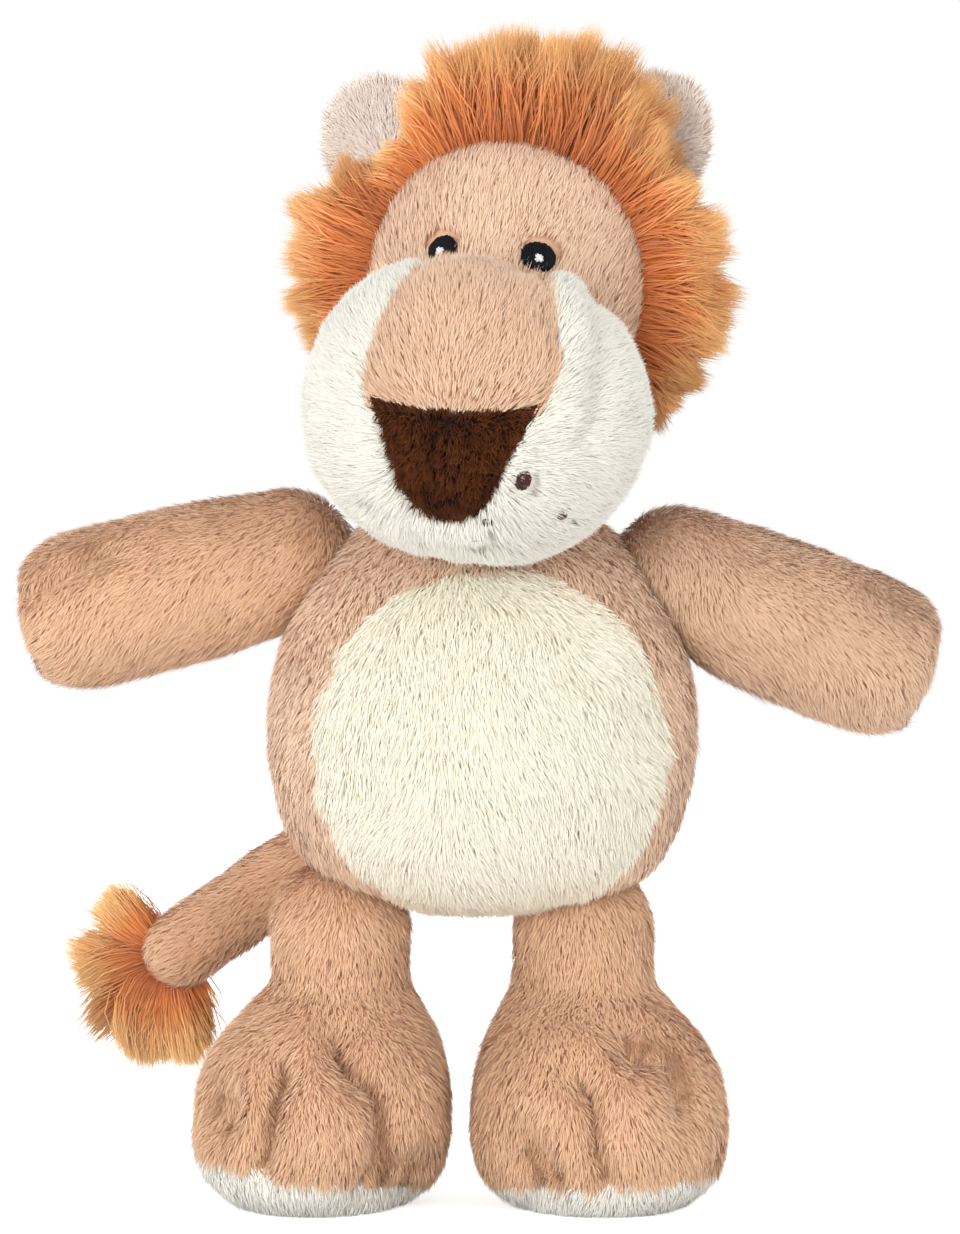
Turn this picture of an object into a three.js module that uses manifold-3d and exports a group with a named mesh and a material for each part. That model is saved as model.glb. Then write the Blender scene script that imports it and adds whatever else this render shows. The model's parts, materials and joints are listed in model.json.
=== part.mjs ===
// A plush lion that stands with its arms out: sewn plush covers over fibre stuffing.
// Millimetres, +Z up. The face looks along -Y and the lion's own left is at +X.
// Each limb is held by a seam roll, a ring of turned-in cloth round the centre it moves about.
import * as THREE from "three";
import { mergeVertices } from "three/addons/utils/BufferGeometryUtils.js";
import Module from "manifold-3d";

const wasm = await Module();
wasm.setup();

// Cloth and clearances
const plushWall = 3; // a cover's backing with its dense pile
const trimWall = 1.4; // embroidery and its backing
const seamGap = 0.3; // between panels that are sewn edge to edge
const seatGap = 0.35; // between a cover and what fills it
const cutOverrun = 40; // how far a cutting outline runs past what it cuts

// Body
const bodyWidth = 127;
const bodyDepth = 106;
const bodyHeight = 128;
const bodyFloorHeight = 90; // underside of the body above the floor
const bellyBulge = 3; // how far the belly is pushed forward
const bodyShift = 6.6; // how far the body has slumped to one side of its legs
const bodyProfileShares = [
  [0, 0], [0.35, 0.012], [0.6, 0.04], [0.78, 0.09], [0.9, 0.17], [0.98, 0.29], [1, 0.42],
  [0.98, 0.55], [0.91, 0.68], [0.8, 0.78], [0.64, 0.87], [0.46, 0.935], [0.25, 0.98], [0, 1],
];
const bellyPanelWidth = 101;
const bellyPanelHeight = 104;
const bellyPanelOffset = 2; // to the lion's left of the body's middle
const bellyPanelDrop = 14; // its middle below the body's middle

// Head
const neckRadius = 20;
const neckHeight = 222; // neck centre above the floor
const skullWidth = 84;
const skullDepth = 84;
const skullHeight = 97;
const skullRise = 56.5; // middle of the face above the neck centre
const skullJowl = 9; // how much further its underside reaches than its crown does
const skullProfileShares = [
  [0, 0], [0.48, 0.03], [0.76, 0.13], [0.93, 0.3], [1, 0.5], [0.95, 0.7], [0.77, 0.86], [0.45, 0.965], [0, 1],
];
const headRollDegrees = 8;
const headYawDegrees = -7;

// Muzzle
const muzzleWidth = 98;
const muzzleDepth = 88;
const muzzleHeight = 86;
const muzzleReach = 61; // its centre ahead of the neck centre
const muzzleRise = 17.5;
const muzzleOffset = 3;
const muzzleProfileShares = [
  [0, 0], [0.42, 0.035], [0.72, 0.14], [0.92, 0.3], [1, 0.5], [0.93, 0.7], [0.74, 0.86], [0.43, 0.965],
  [0, 1],
];
const faceShift = -2; // nose and bridge off the muzzle's middle
const faceTiltDegrees = 5; // nose and bridge hang straighter than the head
const bridgeTopWidth = 37;
const bridgeWidth = 55;
const bridgeSetBack = 21; // how far ahead of the skull's middle it ends
const bridgeTopShare = 0.92; // where its sides turn straight up
const bridgeSideShares = [[0.86, 0.62], [1, 0.26], [0.97, 0.06]]; // half-width, then height over the middle
const bridgeTuckShare = 0.1; // how much of the nose its lower corners reach down
const noseWidth = 48;
const noseHeight = 32;
const noseDrop = 16; // nose middle below the muzzle's middle
const noseEdgeShares = [
  [-1, 0.5], [-0.84, 0.28], [-0.69, -0.01], [-0.56, -0.27], [-0.34, -0.45], [-0.12, -0.5], [0.12, -0.5],
  [0.34, -0.45], [0.56, -0.27], [0.69, -0.01], [0.84, 0.28], [1, 0.5], [0.5, 0.42], [0, 0.39], [-0.5, 0.42],
];

// Eyes and whisker dots
const eyeWidth = 11;
const eyeHeight = 9.6;
const eyeSpacing = 28;
const eyeRise = 9.5; // above the skull's middle
const eyeShift = -2.5;
const glintWidth = 3.2;
const glintRise = 0.2;
const glintShift = 0.5;
const largeDotWidth = 4.4;
const largeDotHeight = 6;
const smallDotWidth = 3;
const smallDotHeight = 3;
const dotShares = [[0.41, -0.38], [0.23, -0.68], [0.65, -0.57], [0.16, -0.82]];

// Mane and ears
const maneReach = 21; // hair beyond the skull at the sides
const maneCrest = 7; // more at the crown, and less below the ears
const maneLobeReach = 5; // more at the middle of each tuft
const maneRootWidth = 24;
const maneTipWidth = 14;
const maneSpreadDegrees = 128; // from the crown down each side
const maneTufts = 12;
const maneStepsPerTuft = 3;
const maneEndShare = 0.35; // its reach at the lower ends, as a share of the full reach
const maneEndGrowth = 5; // how fast the reach grows from there, for each whole band length
const maneSetBack = 4;
const maneBuried = 5; // root sunk under the skull's surface before the skull cuts it
const maneCrossShares = [[0, -1], [0.7, -0.85], [1, 0], [0.7, 0.85], [0, 1]]; // outwards, then across
const earWidth = 37;
const earHeight = 44;
const earCup = 7;
const earWall = 2.6;
const earRimShares = [[0.45, 0], [0.8, 0], [1, 0.5], [0.8, 1], [0.45, 1]]; // outwards, then through
const rightEarSpreadDegrees = 44; // from the crown
const leftEarSpreadDegrees = 35;
const earReach = 62; // ear centre from the skull's middle
const earSetBack = 25;

// Arms
const armLength = 82; // from the shoulder centre to the tip
const armRadius = 23;
const armRootRadius = 20;
const armDepthShare = 0.92; // depth as a share of height
const armReach = 60; // shoulder centre beside the body's middle
const shoulderHeight = 194;
const shoulderTilt = 2.7; // right shoulder up and left shoulder down by this
const rightArmDroopDegrees = 14;
const leftArmDroopDegrees = 22;
const shoulderSeamDegrees = 20; // the seam faces this far below level, into the body
const armProfileShares = [
  [0.15, 0.93], [0.35, 0.98], [0.6, 1], [0.78, 0.98], [0.9, 0.88], [0.97, 0.62], [1, 0],
];

// Legs and feet
const hipHeight = 84;
const hipSpacing = 74;
const legRadius = 19.5;
const footWidth = 75;
const footLength = 84;
const footForward = 14; // foot middle ahead of the leg
const footOutward = 3.8; // and outside it
const soleSeamHeight = 9;
const soleSeamTiltDegrees = 4;
const toeCreaseDepth = 2.6; // where a thread through the stuffing draws the cover in
const toeCreaseSpreadDegrees = 9;
const toeCreaseHeight = 26;
const toeCreaseRise = 17;
const rightToeCreaseDegrees = [-57, -25, 28];
const leftToeCreaseDegrees = [-28, 2, 44];
const rightToeOutDegrees = -6;
const leftToeOutDegrees = 4;
// Height as a share of the hip's, then width, depth and forward shift as shares of the foot's
const footStationShares = [
  [0, 0.7, 0.7, 1], [0.032, 0.87, 0.86, 1], [0.118, 0.98, 0.97, 1], [0.273, 1, 1, 1],
  [0.44, 0.965, 0.94, 0.95], [0.54, 0.89, 0.84, 0.8], [0.62, 0.79, 0.73, 0.6], [0.7, 0.66, 0.59, 0.35],
  [0.78, 0.55, 0.48, 0.12], [0.84, 0.52, 0.465, 0.03],
];

// Tail
const tailRadius = 11;
const tailRootRadius = 11.5;
const tailRootHeight = 123;
const tailRootShift = -8;
const tailClearance = 4; // root centre behind the body's back
const tailSpan = 97; // from root to end, to the lion's right
const tailFall = 57;
const tailSwingOut = 9; // how far it bows out behind the body
const tailCurveShares = [[0, 0, 0], [0.2, 1, 0.1], [0.6, 0.7, 0.52], [1, -0.4, 1]]; // span, swing, fall
const tuftRadius = 28;
const tuftLength = 38;
const tuftOverlap = 6; // how far its root reaches back over the tail's end
const tuftLobes = 7;
const tuftLobeDepth = 4.5;
const tuftStepsPerLobe = 4;
const tuftStationShares = [
  [0.02, 0.4], [0.1, 0.72], [0.26, 0.95], [0.46, 1], [0.66, 0.88], [0.84, 0.6], [0.95, 0.3],
];

// Seam rolls
const rollThickness = 3.4; // two layers of turned-in cloth
const rollInnerDegrees = 20;
const rollOuterDegrees = 36;
const stuffingHoleRadius = 4; // left open at a limb's root and closed by hand

// Facets
const bodySides = 28;
const bodyRows = 12;
const roundSides = 22;
const roundRows = 11;
const innerSides = 16;
const innerRows = 8;
const ballSides = 16;
const limbSides = 18;
const limbRows = 8;
const legSides = 30;
const legRows = 9;
const fillSides = 14;
const fillRows = 6;
const domeRows = 2;
const smallSides = 12;
const dotSides = 8;

const plushTan = new THREE.MeshStandardMaterial({ color: 0xd9ac86, roughness: 0.95, metalness: 0 });
const plushCream = new THREE.MeshStandardMaterial({ color: 0xf6eed8, roughness: 0.95, metalness: 0 });
const plushWhite = new THREE.MeshStandardMaterial({ color: 0xf7f4ea, roughness: 0.95, metalness: 0 });
const plushBrown = new THREE.MeshStandardMaterial({ color: 0x4f2813, roughness: 0.95, metalness: 0 });
const maneOrange = new THREE.MeshStandardMaterial({ color: 0xd27a30, roughness: 0.8, metalness: 0 });
const threadBlack = new THREE.MeshStandardMaterial({ color: 0x10151a, roughness: 0.5, metalness: 0 });
const threadWhite = new THREE.MeshStandardMaterial({ color: 0xf2f5f6, roughness: 0.5, metalness: 0 });
const threadBrown = new THREE.MeshStandardMaterial({ color: 0x3a2220, roughness: 0.6, metalness: 0 });
const fibreWhite = new THREE.MeshStandardMaterial({ color: 0xf2f2ee, roughness: 1, metalness: 0 });

const radians = THREE.MathUtils.degToRad;
const point = (x, y, z) => new THREE.Vector3(x, y, z);

/** A closed solid for cutting and joining, from a geometry. */
function solidOf(geometry) {
  const bare = new THREE.BufferGeometry();
  bare.setAttribute("position", geometry.getAttribute("position").clone());
  if (geometry.index) bare.setIndex(geometry.index.clone());
  const merged = mergeVertices(bare, 1e-4);
  return new wasm.Manifold(new wasm.Mesh({
    numProp: 3,
    vertProperties: merged.attributes.position.array,
    triVerts: new Uint32Array(merged.index.array),
  }));
}

/** The geometry of a solid. */
function geometryOf(solid) {
  const mesh = solid.getMesh();
  const geometry = new THREE.BufferGeometry();
  geometry.setAttribute("position", new THREE.BufferAttribute(new Float32Array(mesh.vertProperties), 3));
  geometry.setIndex(new THREE.BufferAttribute(mesh.triVerts, 1));
  geometry.computeVertexNormals();
  return geometry;
}

/** A closed skin over rings of points that run from one pole to the other. */
function skinOver(firstPole, rings, lastPole) {
  const sides = rings[0].length;
  const points = [firstPole, ...rings.flat(), lastPole];
  const last = points.length - 1;
  const faces = [];
  for (let j = 0; j < sides; j++) {
    const k = (j + 1) % sides;
    faces.push(0, 1 + k, 1 + j);
    for (let i = 0; i + 1 < rings.length; i++) {
      const low = 1 + i * sides;
      const high = low + sides;
      faces.push(low + j, low + k, high + k, low + j, high + k, high + j);
    }
    faces.push(last - sides + j, last - sides + k, last);
  }
  const geometry = new THREE.BufferGeometry().setFromPoints(points);
  geometry.setIndex(faces);
  geometry.computeVertexNormals();
  return geometry;
}

/** The same skin moved along its normals, inwards for a positive distance. */
function insetBy(geometry, distance) {
  const moved = geometry.clone();
  const at = moved.getAttribute("position");
  const normal = moved.getAttribute("normal");
  for (let i = 0; i < at.count; i++) {
    at.setXYZ(i, at.getX(i) - normal.getX(i) * distance, at.getY(i) - normal.getY(i) * distance,
      at.getZ(i) - normal.getZ(i) * distance);
  }
  return moved;
}

/** A ring of points about a centre, from the front round by the lion's left. */
function ringAt(centre, halfWidth, halfDepth, sides, dimple = () => 0) {
  return Array.from({ length: sides }, (_, j) => {
    const turn = (2 * Math.PI * j) / sides;
    const inward = dimple(turn);
    return point(centre.x + (halfWidth - inward) * Math.sin(turn),
      centre.y - (halfDepth - inward) * Math.cos(turn), centre.z);
  });
}

/** A stuffed form that stands on Z, from a profile of half-width and height shares. */
function standingForm(shares, width, depth, height, sides, rows, forward = () => 0) {
  const curve = new THREE.SplineCurve(shares.map(([r, h]) => new THREE.Vector2(r, h)));
  const stations = curve.getSpacedPoints(rows);
  const rings = stations.slice(1, -1).map(({ x, y }) =>
    ringAt(point(0, -forward(y), y * height), (x * width) / 2, (x * depth) / 2, sides));
  return skinOver(point(0, -forward(0), 0), rings, point(0, -forward(1), height));
}

/** A cover, its filling and its outside, from one form at two levels of detail. */
function stuffed(formAt, coverSides, coverRows, hollowSides, hollowRows) {
  const outside = formAt(coverSides, coverRows);
  const coarse = formAt(hollowSides, hollowRows);
  const hollow = solidOf(insetBy(coarse, plushWall));
  const filling = solidOf(insetBy(coarse, plushWall + seatGap));
  return { cover: solidOf(outside).subtract(hollow), filling };
}

/** A ball for a joint centre. */
function ball(radius, centre = point(0, 0, 0), sides = ballSides) {
  const sphere = new THREE.SphereGeometry(radius, sides, Math.round(sides / 2));
  sphere.translate(centre.x, centre.y, centre.z);
  return solidOf(sphere);
}

/** The turned-in cloth behind a joint centre: a ring of a thick ball, about an axis into the body. */
function seamRoll(name, radius, centre, axis) {
  const inner = rollInnerRadius(radius);
  const outer = inner + rollThickness;
  const from = radians(rollInnerDegrees);
  const to = radians(rollOuterDegrees);
  const at = (r, angle) => new THREE.Vector2(r * Math.sin(angle), r * Math.cos(angle));
  const loop = [at(inner, from), at(inner, to), at(outer, to), at(outer, from), at(inner, from)];
  const roll = piece(name, new THREE.LatheGeometry(loop, ballSides), plushTan);
  roll.quaternion.setFromUnitVectors(point(0, 1, 0), axis.clone().normalize());
  roll.position.copy(centre);
  return roll;
}

/** Cuts the hole in a cover's round root that it is stuffed through. */
function openRoot(cover, radius, axis) {
  const hole = new THREE.CylinderGeometry(stuffingHoleRadius, stuffingHoleRadius, radius, dotSides);
  hole.translate(0, radius, 0);
  hole.applyQuaternion(new THREE.Quaternion().setFromUnitVectors(point(0, 1, 0), axis.clone().normalize()));
  return cover.subtract(solidOf(hole));
}

/** The largest body of a solid, without slivers that a cut leaves. */
function largestOf(solid) {
  return solid.decompose().reduce((most, part) => (part.volume() > most.volume() ? part : most));
}

/** A radius let out so that the flats of a faceted ball or ring still clear what turns inside it. */
const letOut = (radius) => radius / Math.cos(Math.PI / ballSides);
const rollInnerRadius = (radius) => letOut(radius + seatGap);

/** The hollow that a limb of this root radius and its seam roll sit in. */
const socketRadius = (radius) => letOut(letOut(rollInnerRadius(radius) + rollThickness + seatGap));

/** A prism along Y through an outline that is given in the front view. */
function frontPrism(outline, nearY, farY) {
  const extent = { depth: farY - nearY, bevelEnabled: false, curveSegments: 1 };
  const prism = new THREE.ExtrudeGeometry(new THREE.Shape(outline), extent);
  prism.rotateX(Math.PI / 2);
  prism.translate(0, farY, 0);
  return solidOf(prism);
}

/** An ellipse as outline points, wider all round by grow. */
function ellipseOutline(x, z, width, height, sides, grow = 0) {
  return Array.from({ length: sides }, (_, j) => {
    const turn = (-2 * Math.PI * j) / sides;
    const across = (width / 2 + grow) * Math.sin(turn);
    return new THREE.Vector2(x + across, z + (height / 2 + grow) * Math.cos(turn));
  });
}

/** A closed outline moved out by grow along its corners' normals. */
function grown(outline, grow) {
  return outline.map((p, i) => {
    const before = outline[(i + outline.length - 1) % outline.length];
    const after = outline[(i + 1) % outline.length];
    const along = after.clone().sub(before).normalize();
    return new THREE.Vector2(p.x + along.y * grow, p.y - along.x * grow);
  });
}

/** A slab that holds everything on one side of a plane, for cutting. */
function slab(size, move, tiltX = 0) {
  const box = new THREE.BoxGeometry(size, size, size);
  box.translate(move.x, move.y, move.z);
  box.rotateX(tiltX);
  return solidOf(box);
}

const group = (...children) => new THREE.Group().add(...children);

function piece(name, geometry, material) {
  const mesh = new THREE.Mesh(geometry, material);
  mesh.name = name;
  return mesh;
}

// The body, in a frame whose origin is on the floor under its middle
const bodyForm = (sides, rows) => {
  const forward = (h) => bellyBulge * Math.sin(Math.PI * h);
  const form = standingForm(bodyProfileShares, bodyWidth, bodyDepth, bodyHeight, sides, rows, forward);
  return form.translate(0, 0, bodyFloorHeight);
};
const bodyMiddle = bodyFloorHeight + bodyHeight / 2;
const hipSide = hipSpacing / 2;
const neckPoint = point(0, 0, neckHeight);
const shoulderPoints = {
  right: point(-armReach, 0, shoulderHeight + shoulderTilt),
  left: point(armReach, 0, shoulderHeight - shoulderTilt),
};
const hipPoints = {
  right: point(-hipSide - bodyShift, 0, hipHeight),
  left: point(hipSide - bodyShift, 0, hipHeight),
};
const tailPoint = point(tailRootShift, bodyDepth / 2 + tailClearance, tailRootHeight);

/** Cuts a solid by several others. */
const without = (solid, cutters) => cutters.reduce((left, cutter) => left.subtract(cutter), solid);

function makeBody() {
  const sockets = [
    ball(socketRadius(neckRadius), neckPoint),
    ball(socketRadius(armRootRadius), shoulderPoints.right),
    ball(socketRadius(armRootRadius), shoulderPoints.left),
    ball(socketRadius(legRadius), hipPoints.right),
    ball(socketRadius(legRadius), hipPoints.left),
    ball(socketRadius(tailRootRadius), tailPoint),
  ];
  const { cover, filling } = stuffed(bodyForm, bodySides, bodyRows, innerSides, innerRows);
  const bellyAt = (grow) => frontPrism(
    ellipseOutline(bellyPanelOffset, bodyMiddle - bellyPanelDrop, bellyPanelWidth, bellyPanelHeight,
      bodySides, grow), -bodyDepth, -plushWall);
  const shell = without(cover, sockets);
  return group(
    piece("body_cover", geometryOf(shell.subtract(bellyAt(seamGap))), plushTan),
    piece("belly_panel", geometryOf(shell.intersect(bellyAt(0))), plushCream),
    piece("body_stuffing", geometryOf(without(filling, sockets)), fibreWhite),
  );
}

// The head, in a frame whose origin is the neck's centre
const skullCentre = point(0, 0, skullRise);
const muzzleCentre = point(muzzleOffset, -muzzleReach, muzzleRise);

/** The skull, let out by grow. */
function skullForm(grow, sides, rows) {
  const form = standingForm(skullProfileShares, skullWidth + 2 * grow, skullDepth + 2 * grow,
    skullHeight + skullJowl + 2 * grow, sides, rows);
  return form.translate(skullCentre.x, skullCentre.y, skullCentre.z - skullHeight / 2 - skullJowl - grow);
}

/** The skull with the round neck below it. */
function skullSolid(grow, sides, rows) {
  return solidOf(skullForm(grow, sides, rows)).add(ball(neckRadius + Math.min(grow, 0)));
}

function muzzleForm(grow, sides, rows) {
  const form = standingForm(muzzleProfileShares, muzzleWidth + 2 * grow, muzzleDepth + 2 * grow,
    muzzleHeight + 2 * grow, sides, rows);
  return form.translate(muzzleCentre.x, muzzleCentre.y, muzzleCentre.z - muzzleHeight / 2 - grow);
}

/** A patch of thread on the front of a form, where a prism through the front view meets it. */
function patchOn(shellAt, outline, lift, wall, farY) {
  const prism = frontPrism(outline, farY - muzzleDepth, farY);
  return shellAt(lift + wall).subtract(shellAt(lift)).intersect(prism);
}

/** Turns an outline of the face about the muzzle's middle. */
function faceTilted(outline) {
  const middle = new THREE.Vector2(muzzleCentre.x, muzzleCentre.z);
  return outline.map((p) => p.clone().rotateAround(middle, radians(faceTiltDegrees)));
}

function bridgeOutline(grow) {
  const x = muzzleCentre.x + faceShift;
  const z = muzzleCentre.z;
  const tall = muzzleHeight / 2;
  const wide = bridgeWidth / 2;
  const top = bridgeTopWidth / 2;
  const low = z - noseDrop + noseHeight / 2;
  const side = [
    [top, z + tall + cutOverrun],
    [top, z + tall * bridgeTopShare],
    ...bridgeSideShares.map(([out, up]) => [wide * out, z + tall * up]),
    [noseWidth / 2, low - noseHeight * bridgeTuckShare],
  ];
  const outline = [
    ...side.map(([dx, h]) => new THREE.Vector2(x - dx, h)),
    ...side.slice().reverse().map(([dx, h]) => new THREE.Vector2(x + dx, h)),
  ];
  return grown(faceTilted(outline), grow);
}

function noseOutline(grow) {
  const x = muzzleCentre.x + faceShift;
  const middle = muzzleCentre.z - noseDrop;
  const outline = noseEdgeShares.map(([across, up]) =>
    new THREE.Vector2(x + (across * noseWidth) / 2, middle + up * noseHeight));
  return grown(faceTilted(outline), grow);
}

function makeMuzzle() {
  const skull = skullSolid(seamGap, roundSides, roundRows);
  const outer = solidOf(muzzleForm(0, roundSides, roundRows));
  const coarse = muzzleForm(0, innerSides, innerRows);
  const shell = outer.subtract(solidOf(insetBy(coarse, plushWall))).subtract(skull);
  const nearY = -muzzleReach - muzzleDepth;
  const prism = (outline, farY) => frontPrism(outline, nearY, farY);
  const noseWide = prism(noseOutline(seamGap), -muzzleReach);
  const bridgeWide = prism(bridgeOutline(seamGap), -bridgeSetBack);
  const bridge = largestOf(shell.intersect(prism(bridgeOutline(0), -bridgeSetBack)).subtract(noseWide));
  const cheeks = largestOf(shell.subtract(noseWide).subtract(bridgeWide));
  const chinSeam = muzzleCentre.x + faceShift;
  const reach = muzzleWidth * 2;
  const sideOf = (sign) => slab(reach * 2, point(chinSeam + sign * (reach + seamGap / 2), 0, 0));
  return [
    piece("nose_patch", geometryOf(shell.intersect(prism(noseOutline(0), -muzzleReach))), plushBrown),
    piece("muzzle_bridge", geometryOf(bridge), plushTan),
    piece("right_cheek", geometryOf(largestOf(cheeks.intersect(sideOf(-1)))), plushWhite),
    piece("left_cheek", geometryOf(largestOf(cheeks.intersect(sideOf(1)))), plushWhite),
    piece("muzzle_stuffing", geometryOf(solidOf(insetBy(coarse, plushWall + seatGap)).subtract(skull)),
      fibreWhite),
  ];
}

function makeEyes() {
  const shellAt = (grow) => solidOf(skullForm(grow, roundSides * 2, roundRows * 2));
  const muzzle = solidOf(muzzleForm(seamGap, roundSides, roundRows));
  return ["right", "left"].flatMap((side) => {
    const x = eyeShift + (side === "left" ? 1 : -1) * (eyeSpacing / 2);
    const z = skullCentre.z + eyeRise;
    const eyeEdge = ellipseOutline(x, z, eyeWidth, eyeHeight, smallSides);
    const glintEdge = ellipseOutline(x + glintShift, z + glintRise, glintWidth, glintWidth, dotSides);
    const eye = patchOn(shellAt, eyeEdge, seatGap, trimWall, 0);
    const glint = patchOn(shellAt, glintEdge, seatGap + trimWall + seatGap, trimWall / 2, 0);
    return [
      piece(`${side}_eye`, geometryOf(eye.subtract(muzzle)), threadBlack),
      piece(`${side}_eye_glint`, geometryOf(glint.subtract(muzzle)), threadWhite),
    ];
  });
}

function makeWhiskerDots() {
  const shellAt = (grow) => solidOf(muzzleForm(grow, roundSides, roundRows));
  return dotShares.map(([across, up], i) => {
    const x = muzzleCentre.x + (across * muzzleWidth) / 2;
    const z = muzzleCentre.z + (up * muzzleHeight) / 2;
    const width = i === 0 ? largeDotWidth : smallDotWidth;
    const height = i === 0 ? largeDotHeight : smallDotHeight;
    const edge = ellipseOutline(x, z, width, height, dotSides);
    const dot = patchOn(shellAt, edge, seatGap, trimWall, -muzzleReach);
    return piece(`whisker_dot_${i + 1}`, geometryOf(dot), threadBrown);
  });
}

/** The mane: a band of long pile round the face, its outer edge gathered into tufts. */
function makeMane() {
  const steps = maneTufts * maneStepsPerTuft;
  const spread = radians(maneSpreadDegrees);
  const sectionAt = (angle, reach) => {
    const sine = Math.sin(angle);
    const cosine = Math.cos(angle);
    const skull = 1 / Math.hypot(sine / (skullWidth / 2), cosine / (skullHeight / 2));
    return maneCrossShares.map(([out, across]) => {
      const radius = skull - maneBuried + out * (reach + maneBuried);
      const halfWidth = (maneRootWidth + (maneTipWidth - maneRootWidth) * out * out) / 2;
      return point(radius * sine, maneSetBack + across * halfWidth, skullCentre.z + radius * cosine);
    });
  };
  const rings = Array.from({ length: steps + 1 }, (_, i) => {
    const share = i / steps;
    const angle = spread - 2 * spread * share;
    const lobe = Math.abs(Math.sin((Math.PI * i) / maneStepsPerTuft));
    const ends = Math.min(1, maneEndShare + maneEndGrowth * Math.min(share, 1 - share));
    return sectionAt(angle, ends * (maneReach + maneCrest * Math.cos(angle) + maneLobeReach * lobe));
  });
  const middleOf = (ring) => ring.reduce((sum, p) => sum.add(p), point(0, 0, 0)).divideScalar(ring.length);
  const band = skinOver(middleOf(rings[0]), rings, middleOf(rings[steps]));
  const mane = solidOf(band).subtract(skullSolid(seamGap, roundSides, roundRows));
  return piece("mane", geometryOf(mane), maneOrange);
}

/** One layer of an ear: a cupped oval flap that opens to the front. */
function earLayer(lift) {
  const at = (out, through, turn) => point((out * earWidth * Math.sin(turn)) / 2,
    lift + through * earWall - earCup * out * out, (out * earHeight * Math.cos(turn)) / 2);
  const rings = earRimShares.map(([out, through]) => Array.from({ length: smallSides }, (_, j) =>
    at(out, through, (2 * Math.PI * j) / smallSides)));
  return skinOver(at(0, 0, 0), rings, at(0, 1, 0));
}

function makeEars() {
  const skull = skullSolid(seamGap, roundSides, roundRows);
  return ["right", "left"].flatMap((side) => {
    const turn = radians(side === "left" ? leftEarSpreadDegrees : -rightEarSpreadDegrees);
    const place = (layer) => {
      layer.translate(0, earSetBack, earReach);
      layer.rotateY(turn);
      layer.translate(skullCentre.x, skullCentre.y, skullCentre.z);
      return geometryOf(solidOf(layer).subtract(skull));
    };
    return [
      piece(`${side}_ear_lining`, place(earLayer(0)), plushCream),
      piece(`${side}_ear_back`, place(earLayer(earWall + seamGap)), plushTan),
    ];
  });
}

function makeHead() {
  const outer = skullSolid(0, roundSides, roundRows);
  const hollow = skullSolid(-plushWall, innerSides, innerRows);
  const filling = skullSolid(-plushWall - seatGap, innerSides, innerRows);
  const down = point(0, 0, -1);
  const head = group(
    piece("head_cover", geometryOf(openRoot(outer.subtract(hollow), neckRadius, down)), plushTan),
    piece("head_stuffing", geometryOf(filling), fibreWhite),
    ...makeMuzzle(),
    ...makeEyes(),
    ...makeWhiskerDots(),
    makeMane(),
    ...makeEars(),
  );
  head.position.copy(neckPoint);
  head.rotation.set(0, radians(headRollDegrees), radians(headYawDegrees), "ZYX");
  return head;
}

/** Stations of a round end: distance before a centre, and radius, from the pole outwards. */
function domeStations(radius) {
  return Array.from({ length: domeRows }, (_, i) => {
    const angle = (Math.PI / 2) * ((i + 1) / (domeRows + 1));
    return { before: radius * Math.cos(angle), radius: radius * Math.sin(angle) };
  });
}

/** A limb along a curve: a round root about the curve's start, then stations of distance and radius. */
function limbForm(curve, rootRadius, stations, endDistance, depthShare, depthAxis, sides) {
  const length = curve.getLength();
  const placeAt = (distance) => {
    const inside = THREE.MathUtils.clamp(distance / length, 0, 1);
    const along = curve.getTangentAt(inside);
    return { along, centre: curve.getPointAt(inside).addScaledVector(along, distance - inside * length) };
  };
  const ringOf = ({ distance, radius }) => {
    const { centre, along } = placeAt(distance);
    const wide = new THREE.Vector3().crossVectors(along, depthAxis).normalize();
    const deep = new THREE.Vector3().crossVectors(wide, along);
    const depth = distance > 0 ? depthShare : 1;
    return Array.from({ length: sides }, (_, j) => {
      const turn = (2 * Math.PI * j) / sides;
      return centre.clone().addScaledVector(deep, radius * depth * Math.cos(turn))
        .addScaledVector(wide, radius * Math.sin(turn));
    });
  };
  const root = domeStations(rootRadius).map(({ before, radius }) => ({ distance: -before, radius }));
  const rings = [...root, { distance: 0, radius: rootRadius }, ...stations].map(ringOf);
  return skinOver(placeAt(-rootRadius).centre, rings, placeAt(endDistance).centre);
}

function makeArm(side) {
  const axis = new THREE.LineCurve3(point(0, 0, 0), point(0, 0, armLength));
  const knots = armProfileShares.map(([s, r]) => new THREE.Vector2(s * armLength, r * armRadius));
  const profile = new THREE.SplineCurve([new THREE.Vector2(0, armRootRadius), ...knots]);
  const formAt = (sides, rows) => {
    const stations = profile.getSpacedPoints(rows).slice(1, -1)
      .map(({ x, y }) => ({ distance: x, radius: y }));
    return limbForm(axis, armRootRadius, stations, armLength, armDepthShare, point(0, 1, 0), sides);
  };
  const { cover, filling } = stuffed(formAt, limbSides, limbRows, fillSides, fillRows);
  const arm = group(
    piece(`${side}_arm_cover`, geometryOf(openRoot(cover, armRootRadius, point(0, 0, -1))), plushTan),
    piece(`${side}_arm_stuffing`, geometryOf(filling), fibreWhite),
  );
  const sign = side === "left" ? 1 : -1;
  const droop = side === "left" ? leftArmDroopDegrees : rightArmDroopDegrees;
  arm.rotation.set(0, sign * radians(90 + droop), 0);
  arm.position.copy(shoulderPoints[side]);
  const below = radians(shoulderSeamDegrees);
  const inwards = point(-sign * Math.cos(below), 0, -Math.sin(below));
  return group(arm, seamRoll(`${side}_shoulder_seam`, armRootRadius, shoulderPoints[side], inwards));
}

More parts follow.
